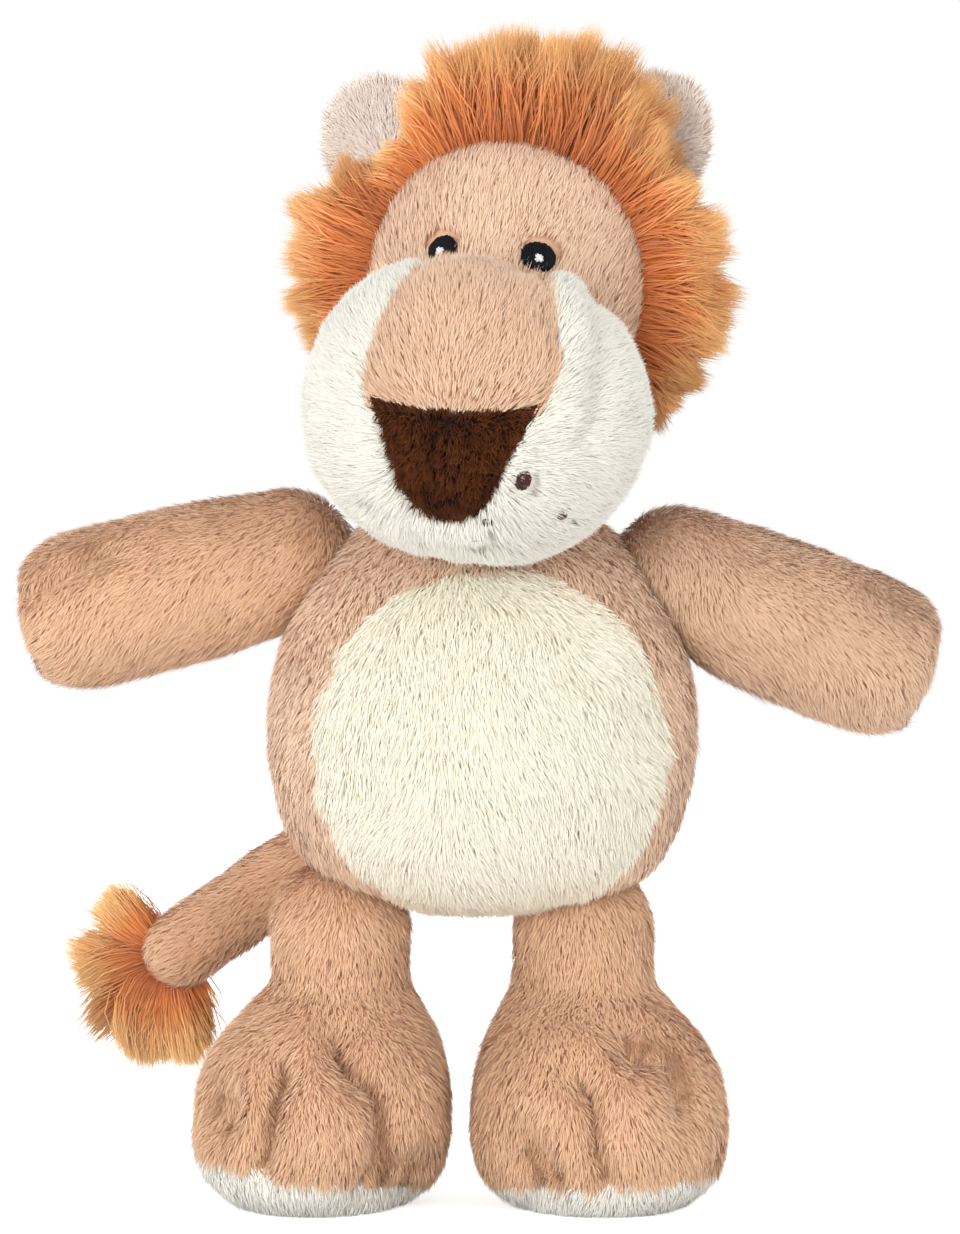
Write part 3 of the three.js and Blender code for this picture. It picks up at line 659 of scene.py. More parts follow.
class Finishes:
    """Every finish of the lion. Piles are given from root to tip, backings and threads light then dark."""

    TAN_PILE = PileFinish(
        "tan_pile", "plush_tan", (226, 174, 134), (238, 192, 153), (246, 210, 176),
        dull=(0.86, 0.815, 0.77), bright=(1.05, 1.05, 1.05))
    PALE_TAN_PILE = PileFinish(
        "pale_tan_pile", "plush_tan", (221, 177, 143), (232, 194, 163), (242, 210, 181),
        dull=(0.87, 0.83, 0.79), bright=(1.05, 1.05, 1.05))
    BODY_PILE = PileFinish(
        "body_pile", "plush_tan", (234, 192, 158), (245, 210, 180), (251, 224, 198),
        dull=(0.88, 0.84, 0.8), bright=(1.04, 1.04, 1.04))
    SOLE_PILE = PileFinish(
        "sole_pile", "plush_cream", (255, 250, 238), (255, 252, 243), (255, 254, 249),
        deep=(0.86, 0.83, 0.77), dull=(0.97, 0.96, 0.935), bright=(1, 1, 1))
    EAR_PILE = PileFinish(
        "ear_pile", "plush_cream", (255, 237, 224), (255, 243, 233), (255, 249, 242),
        deep=(0.86, 0.83, 0.77), dull=(0.97, 0.95, 0.93), bright=(1, 1, 1))
    CREAM_PILE = PileFinish(
        "cream_pile", "plush_cream", (254, 244, 218), (255, 249, 229), (255, 252, 238),
        deep=(0.86, 0.83, 0.77), dull=(0.97, 0.96, 0.935), bright=(1, 1, 1))
    WHITE_PILE = PileFinish(
        "white_pile", "plush_white", (241, 237, 223), (244, 241, 230), (247, 245, 236),
        deep=(0.84, 0.82, 0.79), dull=(0.97, 0.965, 0.95), bright=(1, 1, 1))
    BROWN_PILE = PileFinish(
        "brown_pile", "plush_brown", (16, 5, 1), (50, 22, 6), (104, 57, 25),
        deep=(0.3, 0.25, 0.2), dull=(0.5, 0.45, 0.4), bright=(1.3, 1.25, 1.2), sheen=0.02, specular=0.1)
    MANE_PILE = PileFinish(
        "mane_pile", "mane_orange", (210, 114, 54), (235, 148, 82), (250, 208, 142),
        deep=(0.55, 0.42, 0.34), dull=(0.78, 0.7, 0.62), middle_at=0.66, roughness=0.5, specular=0.4)
    TUFT_PILE = PileFinish(
        "tuft_pile", "mane_orange", (200, 96, 40), (230, 146, 80), (253, 218, 154),
        deep=(0.6, 0.47, 0.38), dull=(0.8, 0.73, 0.65), middle_at=0.5, roughness=0.5, specular=0.4)
    TAN_BACKING = BackingFinish("tan_backing", "plush_tan", (232, 188, 156), (218, 172, 140))
    CREAM_BACKING = BackingFinish("cream_backing", "plush_cream", (252, 244, 224), (244, 234, 212))
    WHITE_BACKING = BackingFinish("white_backing", "plush_white", (250, 247, 238), (242, 238, 226))
    BROWN_BACKING = BackingFinish("brown_backing", "plush_brown", (46, 21, 9), (30, 12, 5), sheen=0)
    MANE_BACKING = BackingFinish("mane_backing", "mane_orange", (190, 104, 44), (158, 80, 32))
    FIBRE = BackingFinish("fibre", "fibre_white", (244, 244, 240), (224, 224, 220), 4 * MM, 2 * MM)
    BLACK_THREAD = ThreadFinish("black_thread", "thread_black", (16, 20, 25), (5, 6, 8))
    WHITE_THREAD = ThreadFinish("white_thread", "thread_white", (252, 253, 254), (214, 220, 226))
    BROWN_THREAD = ThreadFinish("brown_thread", "thread_brown", (84, 46, 44), (48, 26, 26))


# Pieces


def add_piece(
    name: str, mesh: bpy.types.Mesh, finish: Finish, body: str, nodes: Sequence[str] = (),
) -> bpy.types.Object:
    """Adds one piece to the scene.

    Args:
        name: The piece's name.
        mesh: Its mesh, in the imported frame.
        finish: Its finish.
        body: The body that it rides on.
        nodes: The CAD nodes that it stands for.

    Returns:
        The new object.
    """
    piece = bpy.data.objects.new(name, mesh)
    bpy.context.scene.collection.objects.link(piece)
    mesh.materials.clear()
    mesh.materials.append(material_of(finish))
    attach(piece, body)
    if nodes:
        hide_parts(*nodes)
    log.info("%s: %d faces on %s", name, len(mesh.polygons), body)
    return piece


def mesh_of(name: str, made: bmesh.types.BMesh) -> bpy.types.Mesh:
    """Turns a bmesh, which it frees, into a smooth mesh."""
    for face in made.faces:
        face.smooth = True
    mesh = bpy.data.meshes.new(name)
    made.to_mesh(mesh)
    made.free()
    return mesh


def joined(solids: Iterable[bmesh.types.BMesh]) -> bmesh.types.BMesh:
    """Puts several solids, which it frees, in one bmesh."""
    whole = bmesh.new()
    for made in solids:
        part = bpy.data.meshes.new("part")
        made.to_mesh(part)
        made.free()
        whole.from_mesh(part)
        bpy.data.meshes.remove(part)
    return whole


def add_skin(name: str, form: Form, finish: Finish, body: str, node: str) -> None:
    """Adds a closed stuffed skin for a CAD node."""
    piece = add_piece(name, mesh_of(name, form.solid()), finish, body, [node])


def add_filling(name: str, form: Form, body: str, node: str) -> None:
    """Adds the lumpy fibre filling inside a skin, for a CAD node."""
    lumpy = form.coarser(2).lifted(Unevenness(0.6 * MM, 8 * MM, 17))
    add_skin(name, lumpy, Finishes.FIBRE, body, node)


def smooth_border(made: bmesh.types.BMesh, rounds: int = 5) -> None:
    """Moves points of a panel's border halfway between their neighbours, alike on both sides of a seam."""
    chains = {v: [e.other_vert(v) for e in v.link_edges if e.is_boundary] for v in made.verts}
    chains = {v: pair for v, pair in chains.items() if len(pair) == 2}
    for _ in range(rounds):
        places = {v: (v.co + (a.co + b.co) / 2) / 2 for v, (a, b) in chains.items()}
        for v, place in places.items():
            v.co = place


def add_patch(
    name: str, form: Form, covers: Field, finish: Finish, body: str, node: str, thickness: float = 0.8 * MM,
) -> None:
    """Adds a part of a form as a panel of cloth.

    Args:
        name: The piece's name.
        form: The form.
        covers: Which of its points the panel takes in.
        finish: The panel's finish.
        body: The body that it rides on.
        node: The CAD node that it stands for.
        thickness: How thick the cloth is.
    """
    made = form.solid()
    middles = np.array([f.calc_center_median() for f in made.faces])
    left_out = [f for f, keep in zip(made.faces, covers(middles)) if not keep]
    bmesh.ops.delete(made, geom=left_out, context="FACES")
    smooth_border(made)
    bmesh.ops.solidify(made, geom=made.faces[:], thickness=thickness)
    add_piece(name, mesh_of(name, made), finish, body, [node])


# Pile


@dataclass(eq=False)
class Strands:
    """Flat strands that taper at both ends, many to a mesh.

    Each has a line of points, a width at each inner point, a way that its flat side looks and a tone, 0 to 1.
    Softness is how far the shading follows that way and not the flat side itself.
    """

    lines: Points
    widths: Numbers
    facing: Points
    tones: Numbers
    softness: float

    MAP = "OFBake"
    MAP_WIDTH = 0.0022
    MAP_MARGIN = 0.01

    def mesh(self, name: str) -> bpy.types.Mesh:
        """Builds one mesh of all strands, with their map and shading normals."""
        count, steps = self.lines.shape[:2]
        points, normals = self._points_and_normals()
        corners, sizes, u, side = self._layout(steps)
        mesh = bpy.data.meshes.new(name)
        mesh.vertices.add(points.size // 3)
        mesh.vertices.foreach_set("co", points.astype(np.float32).ravel())
        loops = ((np.arange(count) * points.shape[1])[:, None] + corners).astype(np.int32)
        mesh.loops.add(loops.size)
        mesh.loops.foreach_set("vertex_index", loops.ravel())
        totals = np.tile(sizes, count)
        mesh.polygons.add(len(totals))
        starts = np.concatenate([[0], np.cumsum(totals)[:-1]])
        mesh.polygons.foreach_set("loop_start", starts.astype(np.int32))
        mesh.polygons.foreach_set("loop_total", totals)
        layer = mesh.uv_layers.new(name=self.MAP)
        edge = 2 * self.MAP_MARGIN
        v = (edge + (1 - 2 * edge) * np.clip(self.tones, 0, 1))[:, None] + side[None] * self.MAP_WIDTH
        uv = np.stack([np.broadcast_to(self.MAP_MARGIN + (1 - edge) * u, v.shape), v], -1)
        layer.uv.foreach_set("vector", uv.astype(np.float32).ravel())
        mesh.update(calc_edges=True)
        mesh.polygons.foreach_set("use_smooth", np.ones(len(mesh.polygons), bool))
        mesh.normals_split_custom_set_from_vertices(normals.reshape(-1, 3))
        return mesh

    def _points_and_normals(self) -> tuple[Points, Points]:
        """The strands' points when they have their breadth, and the way that light finds each facing."""
        along = unit(np.gradient(self.lines, axis=1))
        facing = np.repeat(unit(self.facing)[:, None], self.lines.shape[1], 1)
        across = unit(np.cross(facing, along))
        half = across[:, 1:-1] * self.widths[..., None] / 2
        flat = unit(np.cross(along, across))
        shade = unit(flat * (1 - self.softness) + facing * self.softness)
        points = self._around(self.lines, self.lines[:, 1:-1] - half, self.lines[:, 1:-1] + half)
        return points, self._around(shade, shade[:, 1:-1], shade[:, 1:-1])

    @staticmethod
    def _around(ends: Points, left: Points, right: Points) -> Points:
        """Lists each strand's root, its pairs of side points and its tip."""
        pairs = np.stack([left, right], 2).reshape(len(left), -1, 3)
        return np.concatenate([ends[:, :1], pairs, ends[:, -1:]], 1)

    @staticmethod
    def _layout(steps: int) -> tuple[np.ndarray, np.ndarray, Numbers, Numbers]:
        """Lays out the faces of a strand.

        Args:
            steps: Points along it.

        Returns:
            The faces' corners and sizes, and for each corner how far along it is, 0 to 1, and its side.
        """
        tip = 2 * (steps - 2) + 1
        corners = [0, 1, 2]
        for i in range(1, tip - 2, 2):
            corners += [i + 1, i, i + 2, i + 3]
        corners += [tip - 1, tip - 2, tip]
        indices = np.array(corners)
        sizes = np.array([3] + [4] * (steps - 3) + [3], np.int32)
        u = np.where(indices == tip, steps - 1, (indices + 1) // 2) / (steps - 1)
        side = np.where((indices == tip) | (indices == 0), 0, np.where(indices % 2 == 1, -1, 1))
        return indices, sizes, u, side


@dataclass(frozen=True)
class Pile:
    """How a plush pile is laid. Its density is in strands to a square millimetre."""

    length: float = 5.8 * MM
    width: float = 0.36 * MM
    density: float = 3.4
    root_lift: float = math.radians(44)
    tip_lift: float = math.radians(15)
    lift_spread: float = math.radians(5)
    lift_sway: float = 0.12
    lift_limits: tuple[float, float] = (0.05, 1.4)
    wander: float = math.radians(26)
    wander_size: float = 17 * MM
    stray: float = math.radians(11)
    clump: float = 0.2
    clump_size: float = 4 * MM
    clump_middle: float = 0.35
    twist: float = math.radians(14)
    softness: float = 0.9
    length_range: tuple[float, float] = (0.75, 1.15)
    length_sway: float = 0.16
    width_range: tuple[float, float] = (0.7, 1.25)
    tone: float = 0.67
    tone_spread: float = 0.07
    patchy: float = 0.15
    broad_patchy: float = 0.14
    sunk_length: float = 0.4
    # painted shade: how far a strand's tone drops at full shortening, at joins, seams, creases, the left eye
    # and the arms' tops
    sunk_tone: float = 0.6


@dataclass(frozen=True)
class Falling:
    """A nap that hangs straight down but for a sway sideways."""

    sway: Unevenness

    def __call__(self, points: Points) -> Points:
        """The way the pile lies at each point."""
        return np.stack([self.sway(points), np.zeros(len(points)), -np.ones(len(points))], 1)


def everywhere(points: Points) -> np.ndarray:
    """A region that takes in every point."""
    return np.ones(len(points), bool)


@dataclass
class Fur:
    """Grows a pile on a form: where covers says, but not where deeper in another form than it may be sunk."""

    pile: Pile
    nap: Field
    covers: Field = everywhere
    hidden_by: Sequence[tuple[Form, float]] = ()
    seed: int = 1
    # How far the pile is shortened and darkened with painted shade at each root, 0 to 1, or none.
    tucked: Field | None = None

    def roots(self, form: Form) -> tuple[Points, Points]:
        """Scatters the strands' roots.

        Args:
            form: What the pile grows on.

        Returns:
            The roots and the form's normals there.
        """
        rng = np.random.default_rng(self.seed)
        points, normals, triangles = form.points, form.normals(), form.triangles
        areas = np.linalg.norm(form.slopes(), axis=1) / 2
        count = int(areas.sum() / MM**2 * self.pile.density)
        first, second, third = triangles[rng.choice(len(triangles), count, p=areas / areas.sum())].T
        a, b = rng.random((2, count, 1))
        a, b = np.where(a + b > 1, 1 - a, a), np.where(a + b > 1, 1 - b, b)
        roots, facing = (x[first] * (1 - a - b) + x[second] * a + x[third] * b for x in (points, normals))
        facing = unit(facing)
        keep = self.covers(roots)
        roots, facing = roots[keep], facing[keep]
        for other, sunk in self.hidden_by:
            keep = other.depth(roots) < sunk
            roots, facing = roots[keep], facing[keep]
        return roots, facing

    def grow(self, name: str, form: Form, finish: PileFinish, body: str) -> None:
        """Adds the pile as one piece.

        Args:
            name: The piece's name.
            form: What it grows on.
            finish: Its finish.
            body: The body that it rides on.
        """
        roots, facing = self.roots(form)
        pile, seed, count = self.pile, self.seed, len(roots)
        rng = np.random.default_rng(seed + 1000)
        nap = self.nap(roots)
        lay = unit(nap - (nap * facing).sum(1, keepdims=True) * facing)
        wander = noise(roots, pile.wander_size, seed) * pile.wander
        lay = turned(lay, facing, wander + rng.normal(0, pile.stray, count))
        length = pile.length * (1 + pile.length_sway * noise(roots, pile.clump_size * 1.6, seed + 7))
        length *= rng.uniform(*pile.length_range, count)
        tones = pile.tone + rng.normal(0, pile.tone_spread, count)
        tones += pile.patchy * noise(roots, pile.clump_size, seed + 3)
        tones += pile.broad_patchy * noise(roots, 3.2 * pile.clump_size, seed + 5)
        # Where the pile is shortened, its tone drops too: painted shade in joins, seams, creases and round
        # the eye.
        if self.tucked:
            near = self.tucked(roots)
            length *= 1 - pile.sunk_length * near
            tones -= pile.sunk_tone * near
        lift = rng.normal(0, pile.lift_spread, count)
        lift += pile.lift_sway * noise(roots, pile.wander_size / 2, seed + 9)
        lines = [roots]
        for share in (0, 1):
            angle = pile.root_lift + (pile.tip_lift - pile.root_lift) * share + lift
            angle = np.clip(angle, *pile.lift_limits)
            step = lay * np.cos(angle)[:, None] + facing * np.sin(angle)[:, None]
            lines.append(lines[-1] + step * (length / 2)[:, None])
        pull = clump_centres(roots, pile.clump_size, seed) - roots
        pull -= (pull * facing).sum(1, keepdims=True) * facing
        lines[1] = lines[1] + pull * pile.clump * pile.clump_middle
        lines[2] = lines[2] + pull * pile.clump
        side_tilt = turned(facing, lay, rng.normal(0, pile.twist, count))
        widths = pile.width * rng.uniform(*pile.width_range, (count, 1))
        strands = Strands(np.stack(lines, 1), widths, side_tilt, tones, pile.softness)
        add_piece(name, strands.mesh(name), finish, body)


@dataclass(frozen=True)
class Straight:
    """A nap that lies one way everywhere."""

    way: Points

    def __call__(self, points: Points) -> Points:
        """The way the pile lies at each point."""
        return np.tile(self.way, (len(points), 1))


@dataclass(frozen=True)
class Tuck:
    """Shorter pile with painted shade where other forms are sewn on: a share at them, and less over a reach.
    """

    forms: Sequence[Form]
    share: float
    reach: float

    def __call__(self, points: Points) -> Numbers:
        """How far the pile is shortened and darkened with painted shade at each point, 0 to 1."""
        return self.share * np.max([form.nearness(points, self.reach) for form in self.forms], axis=0)


# Sub-assemblies


@dataclass
class Body:
    """The stuffed body with its belly panel."""

    width: float = 127 * MM
    depth: float = 106 * MM
    height: float = 128 * MM
    floor_height: float = 90 * MM
    bulge: float = 3 * MM
    inset: float = 0.4 * MM
    lumps: Field = Unevenness(0.7 * MM, 24 * MM, 5)
    filling_inset: float = 5 * MM
    limb_overlap: float = 1.5 * MM
    panel_width: float = 101 * MM
    panel_height: float = 104 * MM
    panel_offset: float = 2 * MM
    panel_drop: float = 14 * MM
    panel_lift: float = 0.5 * MM
    panel_gap: float = 0.5 * MM
    panel_spill: float = 0.8 * MM
    panel_edge: Field = Unevenness(1.2 * MM, 7 * MM, 11)
    profile: Knots = (
        (0, 0), (0.35, 0.012), (0.6, 0.04), (0.78, 0.09), (0.9, 0.17), (0.98, 0.29), (1, 0.42),
        (0.98, 0.55), (0.91, 0.68), (0.8, 0.78), (0.64, 0.87), (0.46, 0.935), (0.25, 0.98), (0, 1),
    )
    pile: Pile = Pile(density=2.8, width=0.4 * MM)
    nap: Field = Falling(Unevenness(0.25, 40 * MM, 3))
    belly_pile: Pile = Pile(
        length=6.6 * MM, density=4, root_lift=math.radians(38), wander=math.radians(34), clump=0.22)

    def __post_init__(self) -> None:
        """Works out the body's form."""
        neck = joint_at("neck_turn")
        self.foot = Vector((neck.x, neck.y, self.floor_height))
        form = standing_form(self.profile, (self.width, self.depth, self.height), 70, 110, self.bulge)
        self.outside = form.moved(Matrix.Translation(self.foot))
        self.form = self.outside.lifted(lambda p: self.lumps(p) - self.inset)

    def on_panel(self, points: Points, grow: float = 0.0) -> np.ndarray:
        """Finds the belly panel, its edge a little uneven.

        Args:
            points: The points to test.
            grow: How much larger than the panel to take it.

        Returns:
            Whether each point lies on it.
        """
        x = points[:, 0] - self.foot.x - self.panel_offset
        z = points[:, 2] - self.foot.z - self.height / 2 + self.panel_drop
        edge = self.panel_edge(points) + grow
        share = (x / (self.panel_width / 2 + edge)) ** 2 + (z / (self.panel_height / 2 + edge)) ** 2
        return (share < 1) & (points[:, 1] < self.foot.y)

    def _belly_nap(self, points: Points) -> Points:
        """The belly's pile lies outwards and down."""
        centre = np.array(self.foot) + np.array([self.panel_offset, 0, self.height / 2 - self.panel_drop])
        out = (points - centre) / (self.panel_width / 2)
        out[:, 1] = 0
        return 0.55 * out + np.array([0.12, 0, -1])

    def build(self, limbs: Sequence[Form]) -> None:
        """Adds the body's pieces, without pile where a limb is sewn on.

        Args:
            limbs: The forms of the arms and legs.
        """
        panel = self.form.lifted(self.panel_lift)
        hidden = [(form, self.limb_overlap) for form in limbs]
        add_skin("body_skin", self.form, Finishes.TAN_BACKING, "body", "body_cover")
        add_patch("belly_skin", panel, self.on_panel, Finishes.CREAM_BACKING, "body", "belly_panel")
        # Painted shade: the body's pile is shortened and darkened round the arms and legs.
        tuck = Tuck(limbs, 0.75, 4 * MM)
        Fur(self.pile, self.nap, lambda p: ~self.on_panel(p, -self.panel_gap), hidden, 21, tuck).grow(
            "body_pile", self.form, Finishes.BODY_PILE, "body")
        Fur(self.belly_pile, self._belly_nap, partial(self.on_panel, grow=self.panel_spill), hidden, 22).grow(
            "belly_pile", panel, Finishes.CREAM_PILE, "body")
        add_filling("body_filling", self.outside.lifted(-self.filling_inset), "body", "body_stuffing")


@dataclass
class Head:
    """Skull, muzzle, face and ears, about the neck."""

    skull_width: float = 84 * MM
    skull_depth: float = 84 * MM
    skull_height: float = 97 * MM
    skull_rise: float = 56.5 * MM
    skull_jowl: float = 9 * MM
    inset: float = 0.8 * MM
    filling_inset: float = 5 * MM
    overlap: float = 1 * MM
    blend_reach: float = 8 * MM
    blend_rise: float = 4 * MM
    neck_radius: float = 20 * MM
    roll: float = math.radians(8)
    yaw: float = math.radians(-7)
    muzzle_size: tuple[float, float, float] = (98 * MM, 88 * MM, 86 * MM)
    muzzle_reach: float = 61 * MM
    muzzle_rise: float = 17.5 * MM
    muzzle_offset: float = 3 * MM
    muzzle_inset: float = 0.6 * MM
    muzzle_lumps: Field = Unevenness(0.6 * MM, 20 * MM, 8)
    face_shift: float = -2 * MM
    face_tilt: float = math.radians(5)
    bridge_top_width: float = 37 * MM
    bridge_width: float = 55 * MM
    nose_width: float = 48 * MM
    nose_height: float = 32 * MM
    nose_drop: float = 16 * MM
    nose_upright_band: float = 2.6 * MM
    skull_profile: Knots = (
        (0, 0), (0.48, 0.03), (0.76, 0.13), (0.93, 0.3), (1, 0.5), (0.95, 0.7), (0.77, 0.86), (0.45, 0.965),
        (0, 1),
    )
    muzzle_profile: Knots = (
        (0, 0), (0.42, 0.035), (0.72, 0.14), (0.92, 0.3), (1, 0.5), (0.93, 0.7), (0.74, 0.86),
        (0.43, 0.965), (0, 1),
    )
    nose_edge: Knots = (
        (-1, 0.5), (-0.83, 0.28), (-0.72, -0.01), (-0.6, -0.27), (-0.38, -0.45), (-0.14, -0.5),
        (0.1, -0.5), (0.3, -0.45), (0.49, -0.27), (0.64, -0.01), (0.83, 0.28), (1, 0.5), (0.5, 0.375),
        (0, 0.345), (-0.5, 0.4),
    )
    nose_top: tuple[int, ...] = (11, 12, 13, 14, 0)
    bridge_side: Knots = ((0.86, 0.62), (1, 0.26), (0.97, 0.06))
    bridge_left_growth: tuple[float, ...] = (2.9 * MM, 2.9 * MM, 2.7 * MM, 1.8 * MM, -0.4 * MM, -0.4 * MM)
    bridge_right_growth: tuple[float, ...] = (-5 * MM, -5 * MM, -4.4 * MM, -2.8 * MM, -2.2 * MM, -0.5 * MM)
    seam_depth: float = 2 * MM
    seam_width: float = 2.2 * MM
    seam_waver: tuple[Field, Field] = (Unevenness(0.7 * MM, 4 * MM, 31), Unevenness(0.7 * MM, 4 * MM, 32))
    left_eye: tuple[float, float] = (12.4 * MM, 65.6 * MM)
    eye_room: tuple[float, float] = (9 * MM, 10 * MM)
    eye_dent: float = 3.4 * MM
    fold_rise: float = 1.6 * MM
    ridge_width: float = 3.6 * MM
    valley_width: float = 4 * MM
    cheek_ridge: Knots = ((22.4, 57.1), (30.4, 43.2), (32.2, 28.6), (32.3, 17))
    cheek_valley: Knots = ((31.7, 53.9), (38.7, 38.8), (39.3, 24), (37.6, 12.2))
    mouth_creases: tuple[Knots, ...] = (
        ((-20.1, -13.6), (-15.3, -15.5), (-9.3, -15.9)), ((-7.1, -18.7), (-3.5, -21.4), (0.1, -21.7)),
        ((0.1, -21.7), (8.9, -21.7), (14.7, -19.5)),
    )
    nose_pile: Pile = Pile(
        length=4.4 * MM, width=0.4 * MM, density=5.5, root_lift=math.radians(58), tip_lift=math.radians(24),
        clump=0.7, clump_size=3.2 * MM, stray=math.radians(18), lift_spread=math.radians(13), softness=0.7,
        patchy=0.4)
    cheek_pile: Pile = Pile(
        length=6 * MM, width=0.3 * MM, density=5.6, wander=math.radians(25), clump=0.15)

    def __post_init__(self) -> None:
        """Works out the head's place and its two forms."""
        turn = Matrix.Rotation(self.yaw, 4, "Z") @ Matrix.Rotation(self.roll, 4, "Y")
        self.place = Matrix.Translation(joint_at("neck_nod")) @ turn
        self.back = self.place.inverted()
        self.middle = np.array([0, 0, self.skull_rise])
        self.muzzle_middle = np.array([self.muzzle_offset, -self.muzzle_reach, self.muzzle_rise])
        skull_size = (self.skull_width, self.skull_depth, self.skull_height + self.skull_jowl)
        low = Vector((0, 0, self.skull_rise - self.skull_height / 2 - self.skull_jowl))
        skull = standing_form(self.skull_profile, skull_size, 60, 90).moved(Matrix.Translation(low))
        under = Vector(self.muzzle_middle) - Vector((0, 0, self.muzzle_size[2] / 2))
        muzzle = standing_form(self.muzzle_profile, self.muzzle_size, 110, 180)
        muzzle = muzzle.moved(Matrix.Translation(under))
        self.skull_outside = skull.moved(self.place)
        self.muzzle_outside = muzzle.moved(self.place)
        muzzle = muzzle.lifted(self._muzzle_relief)
        skull = skull.lifted(-self.inset)
        blend = self.blend_rise * muzzle.nearness(skull.points, self.blend_reach)
        self.skull = skull.lifted(blend).moved(self.place)
        self.muzzle = muzzle.moved(self.place)

    def local(self, points: Points) -> Points:
        """Packed points in the head's own frame."""
        return carried(points, self.back)

    def directions(self, vectors: Points) -> Points:
        """Directions in the head's own frame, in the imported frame."""
        return vectors @ np.array(self.place)[:3, :3].T

    @property
    def face_middle(self) -> Points:
        """The middle of the muzzle's front, between nose and bridge, in the head's own frame."""
        out = np.array([self.face_shift, -self.muzzle_size[1] / 2, -self.nose_drop])
        return self.muzzle_middle + out

    def _tilted(self, outline: Sequence[tuple[float, float]]) -> Points:
        """Turns a face outline about the muzzle's middle."""
        middle = self.muzzle_middle[[0, 2]]
        c, s = math.cos(self.face_tilt), math.sin(self.face_tilt)
        return (np.array(outline) - middle) @ np.array([[c, s], [-s, c]]) + middle

    @cached_property
    def nose_outline(self) -> Points:
        """The nose patch in the front view."""
        x, _, z = self.face_middle
        half, height = self.nose_width / 2, self.nose_height
        return self._tilted([(x + a * half, z + b * height) for a, b in self.nose_edge])

    @cached_property
    def bridge_outline(self) -> Points:
        """The muzzle's tan strip in the front view."""
        x, z = self.face_middle[0], self.muzzle_middle[2]
        tall, wide, top = self.muzzle_size[2] / 2, self.bridge_width / 2, self.bridge_top_width / 2
        side = [(top, z + 2 * tall), (top, z + tall * 0.92)]
        side += [(wide * a, z + tall * b) for a, b in self.bridge_side]
        side += [(self.nose_width / 2, z - self.nose_drop + self.nose_height * 0.4)]
        right = [(x - a - more, b) for (a, b), more in zip(side, self.bridge_right_growth)]
        left = [(x + a + more, b) for (a, b), more in zip(side, self.bridge_left_growth)]
        return self._tilted(right + left[::-1])

    def _muzzle_relief(self, points: Points) -> Numbers:
        """How far the muzzle's skin lies off the CAD surface: sunk at seams, raised along a cheek's fold."""
        flat = points[:, [0, 2]]
        front = points[:, 1] < self.muzzle_middle[1] + 0.2 * self.muzzle_size[1]
        relief = self.muzzle_lumps(points) - self.muzzle_inset
        relief -= np.where(front, self.seam_depth * self._seamed(points), 0)
        ridge = distance_to_line(flat, smooth_curve(np.array(self.cheek_ridge) * MM, 14))
        valley = distance_to_line(flat, smooth_curve(np.array(self.cheek_valley) * MM, 14))
        fold = self.fold_rise * bell(ridge, self.ridge_width)
        fold -= 1.3 * self.fold_rise * bell(valley, self.valley_width)
        return relief + np.where(front, fold, 0) - self.eye_dent * self.near_eye(points)

    def near_eye(self, points: Points) -> Numbers:
        """How near points in the head's frame lie to the left eye, which stands clear of the muzzle."""
        away = (points[:, [0, 2]] - np.array(self.left_eye)) / np.array(self.eye_room)
        return np.exp(-(away**2).sum(1)) * (points[:, 1] < 0)

    def _seamed(self, points: Points) -> Numbers:
        """How near points in the head's frame lie to a seam of the muzzle: 1 on it, 0 well away."""
        flat = points[:, [0, 2]]
        away = [distance_to_line(flat, line, True) for line in (self.nose_outline, self.bridge_outline)]
        away += [distance_to_line(flat, np.array(line) * MM) for line in self.mouth_creases]
        return bell(np.min(away, axis=0), self.seam_width)

    def _tucked_by_eye(self, points: Points, share: float) -> Numbers:
        """How far pile is shortened and darkened with painted shade round the left eye."""
        return share * self.near_eye(self.local(points))

    def _tucked_at_seams(self, points: Points, share: float = 0.3) -> Numbers:
        """How far pile is shortened and darkened with painted shade along the muzzle's seams."""
        return share * self._seamed(self.local(points))

    def _nose_nap(self, points: Points) -> Points:
        """The nose's pile lies down and out, but up over the seam along its top edge."""
        flat = self.local(points)[:, [0, 2]]
        outline = self.nose_outline
        top = outline[list(self.nose_top)]
        upright = 1 - 2 * np.clip(distance_to_line(flat, top) / self.nose_upright_band, 0, 1)
        upright += np.random.default_rng(57).normal(0, 0.7, len(points))
        aside = 1.1 * (flat[:, 0] - top[2, 0]) / self.nose_width
        return self.directions(np.stack([aside + 0.1, 0.3 * upright, upright], 1))

    def _up_nap(self, points: Points, fan: float, middle: float, width: float, back: float) -> Points:
        """Pile that lies up and back on the head, and fans out from a middle line over a width."""
        across = fan * (self.local(points)[:, 0] - middle) / width
        return self.directions(np.stack([across, np.full(len(points), back), np.ones(len(points))], 1))

    def _cheek_nap(self, points: Points) -> Points:
        """The cheeks' pile lies away from the nose."""
        return self.directions(self.local(points) - self.face_middle)

    def _nose_roots(self, points: Points) -> np.ndarray:
        """Whether the nose's pile is rooted at points: inside its seam, as far as the pile lies over it."""
        local = self.local(points)
        middle = self.nose_outline.mean(0)
        inner = middle + (self.nose_outline - middle) * np.array([0.96, 0.97]) + np.array([0, 1.2 * MM])
        return within_outline(local[:, [0, 2]], inner) & (local[:, 1] < self.muzzle_middle[1])

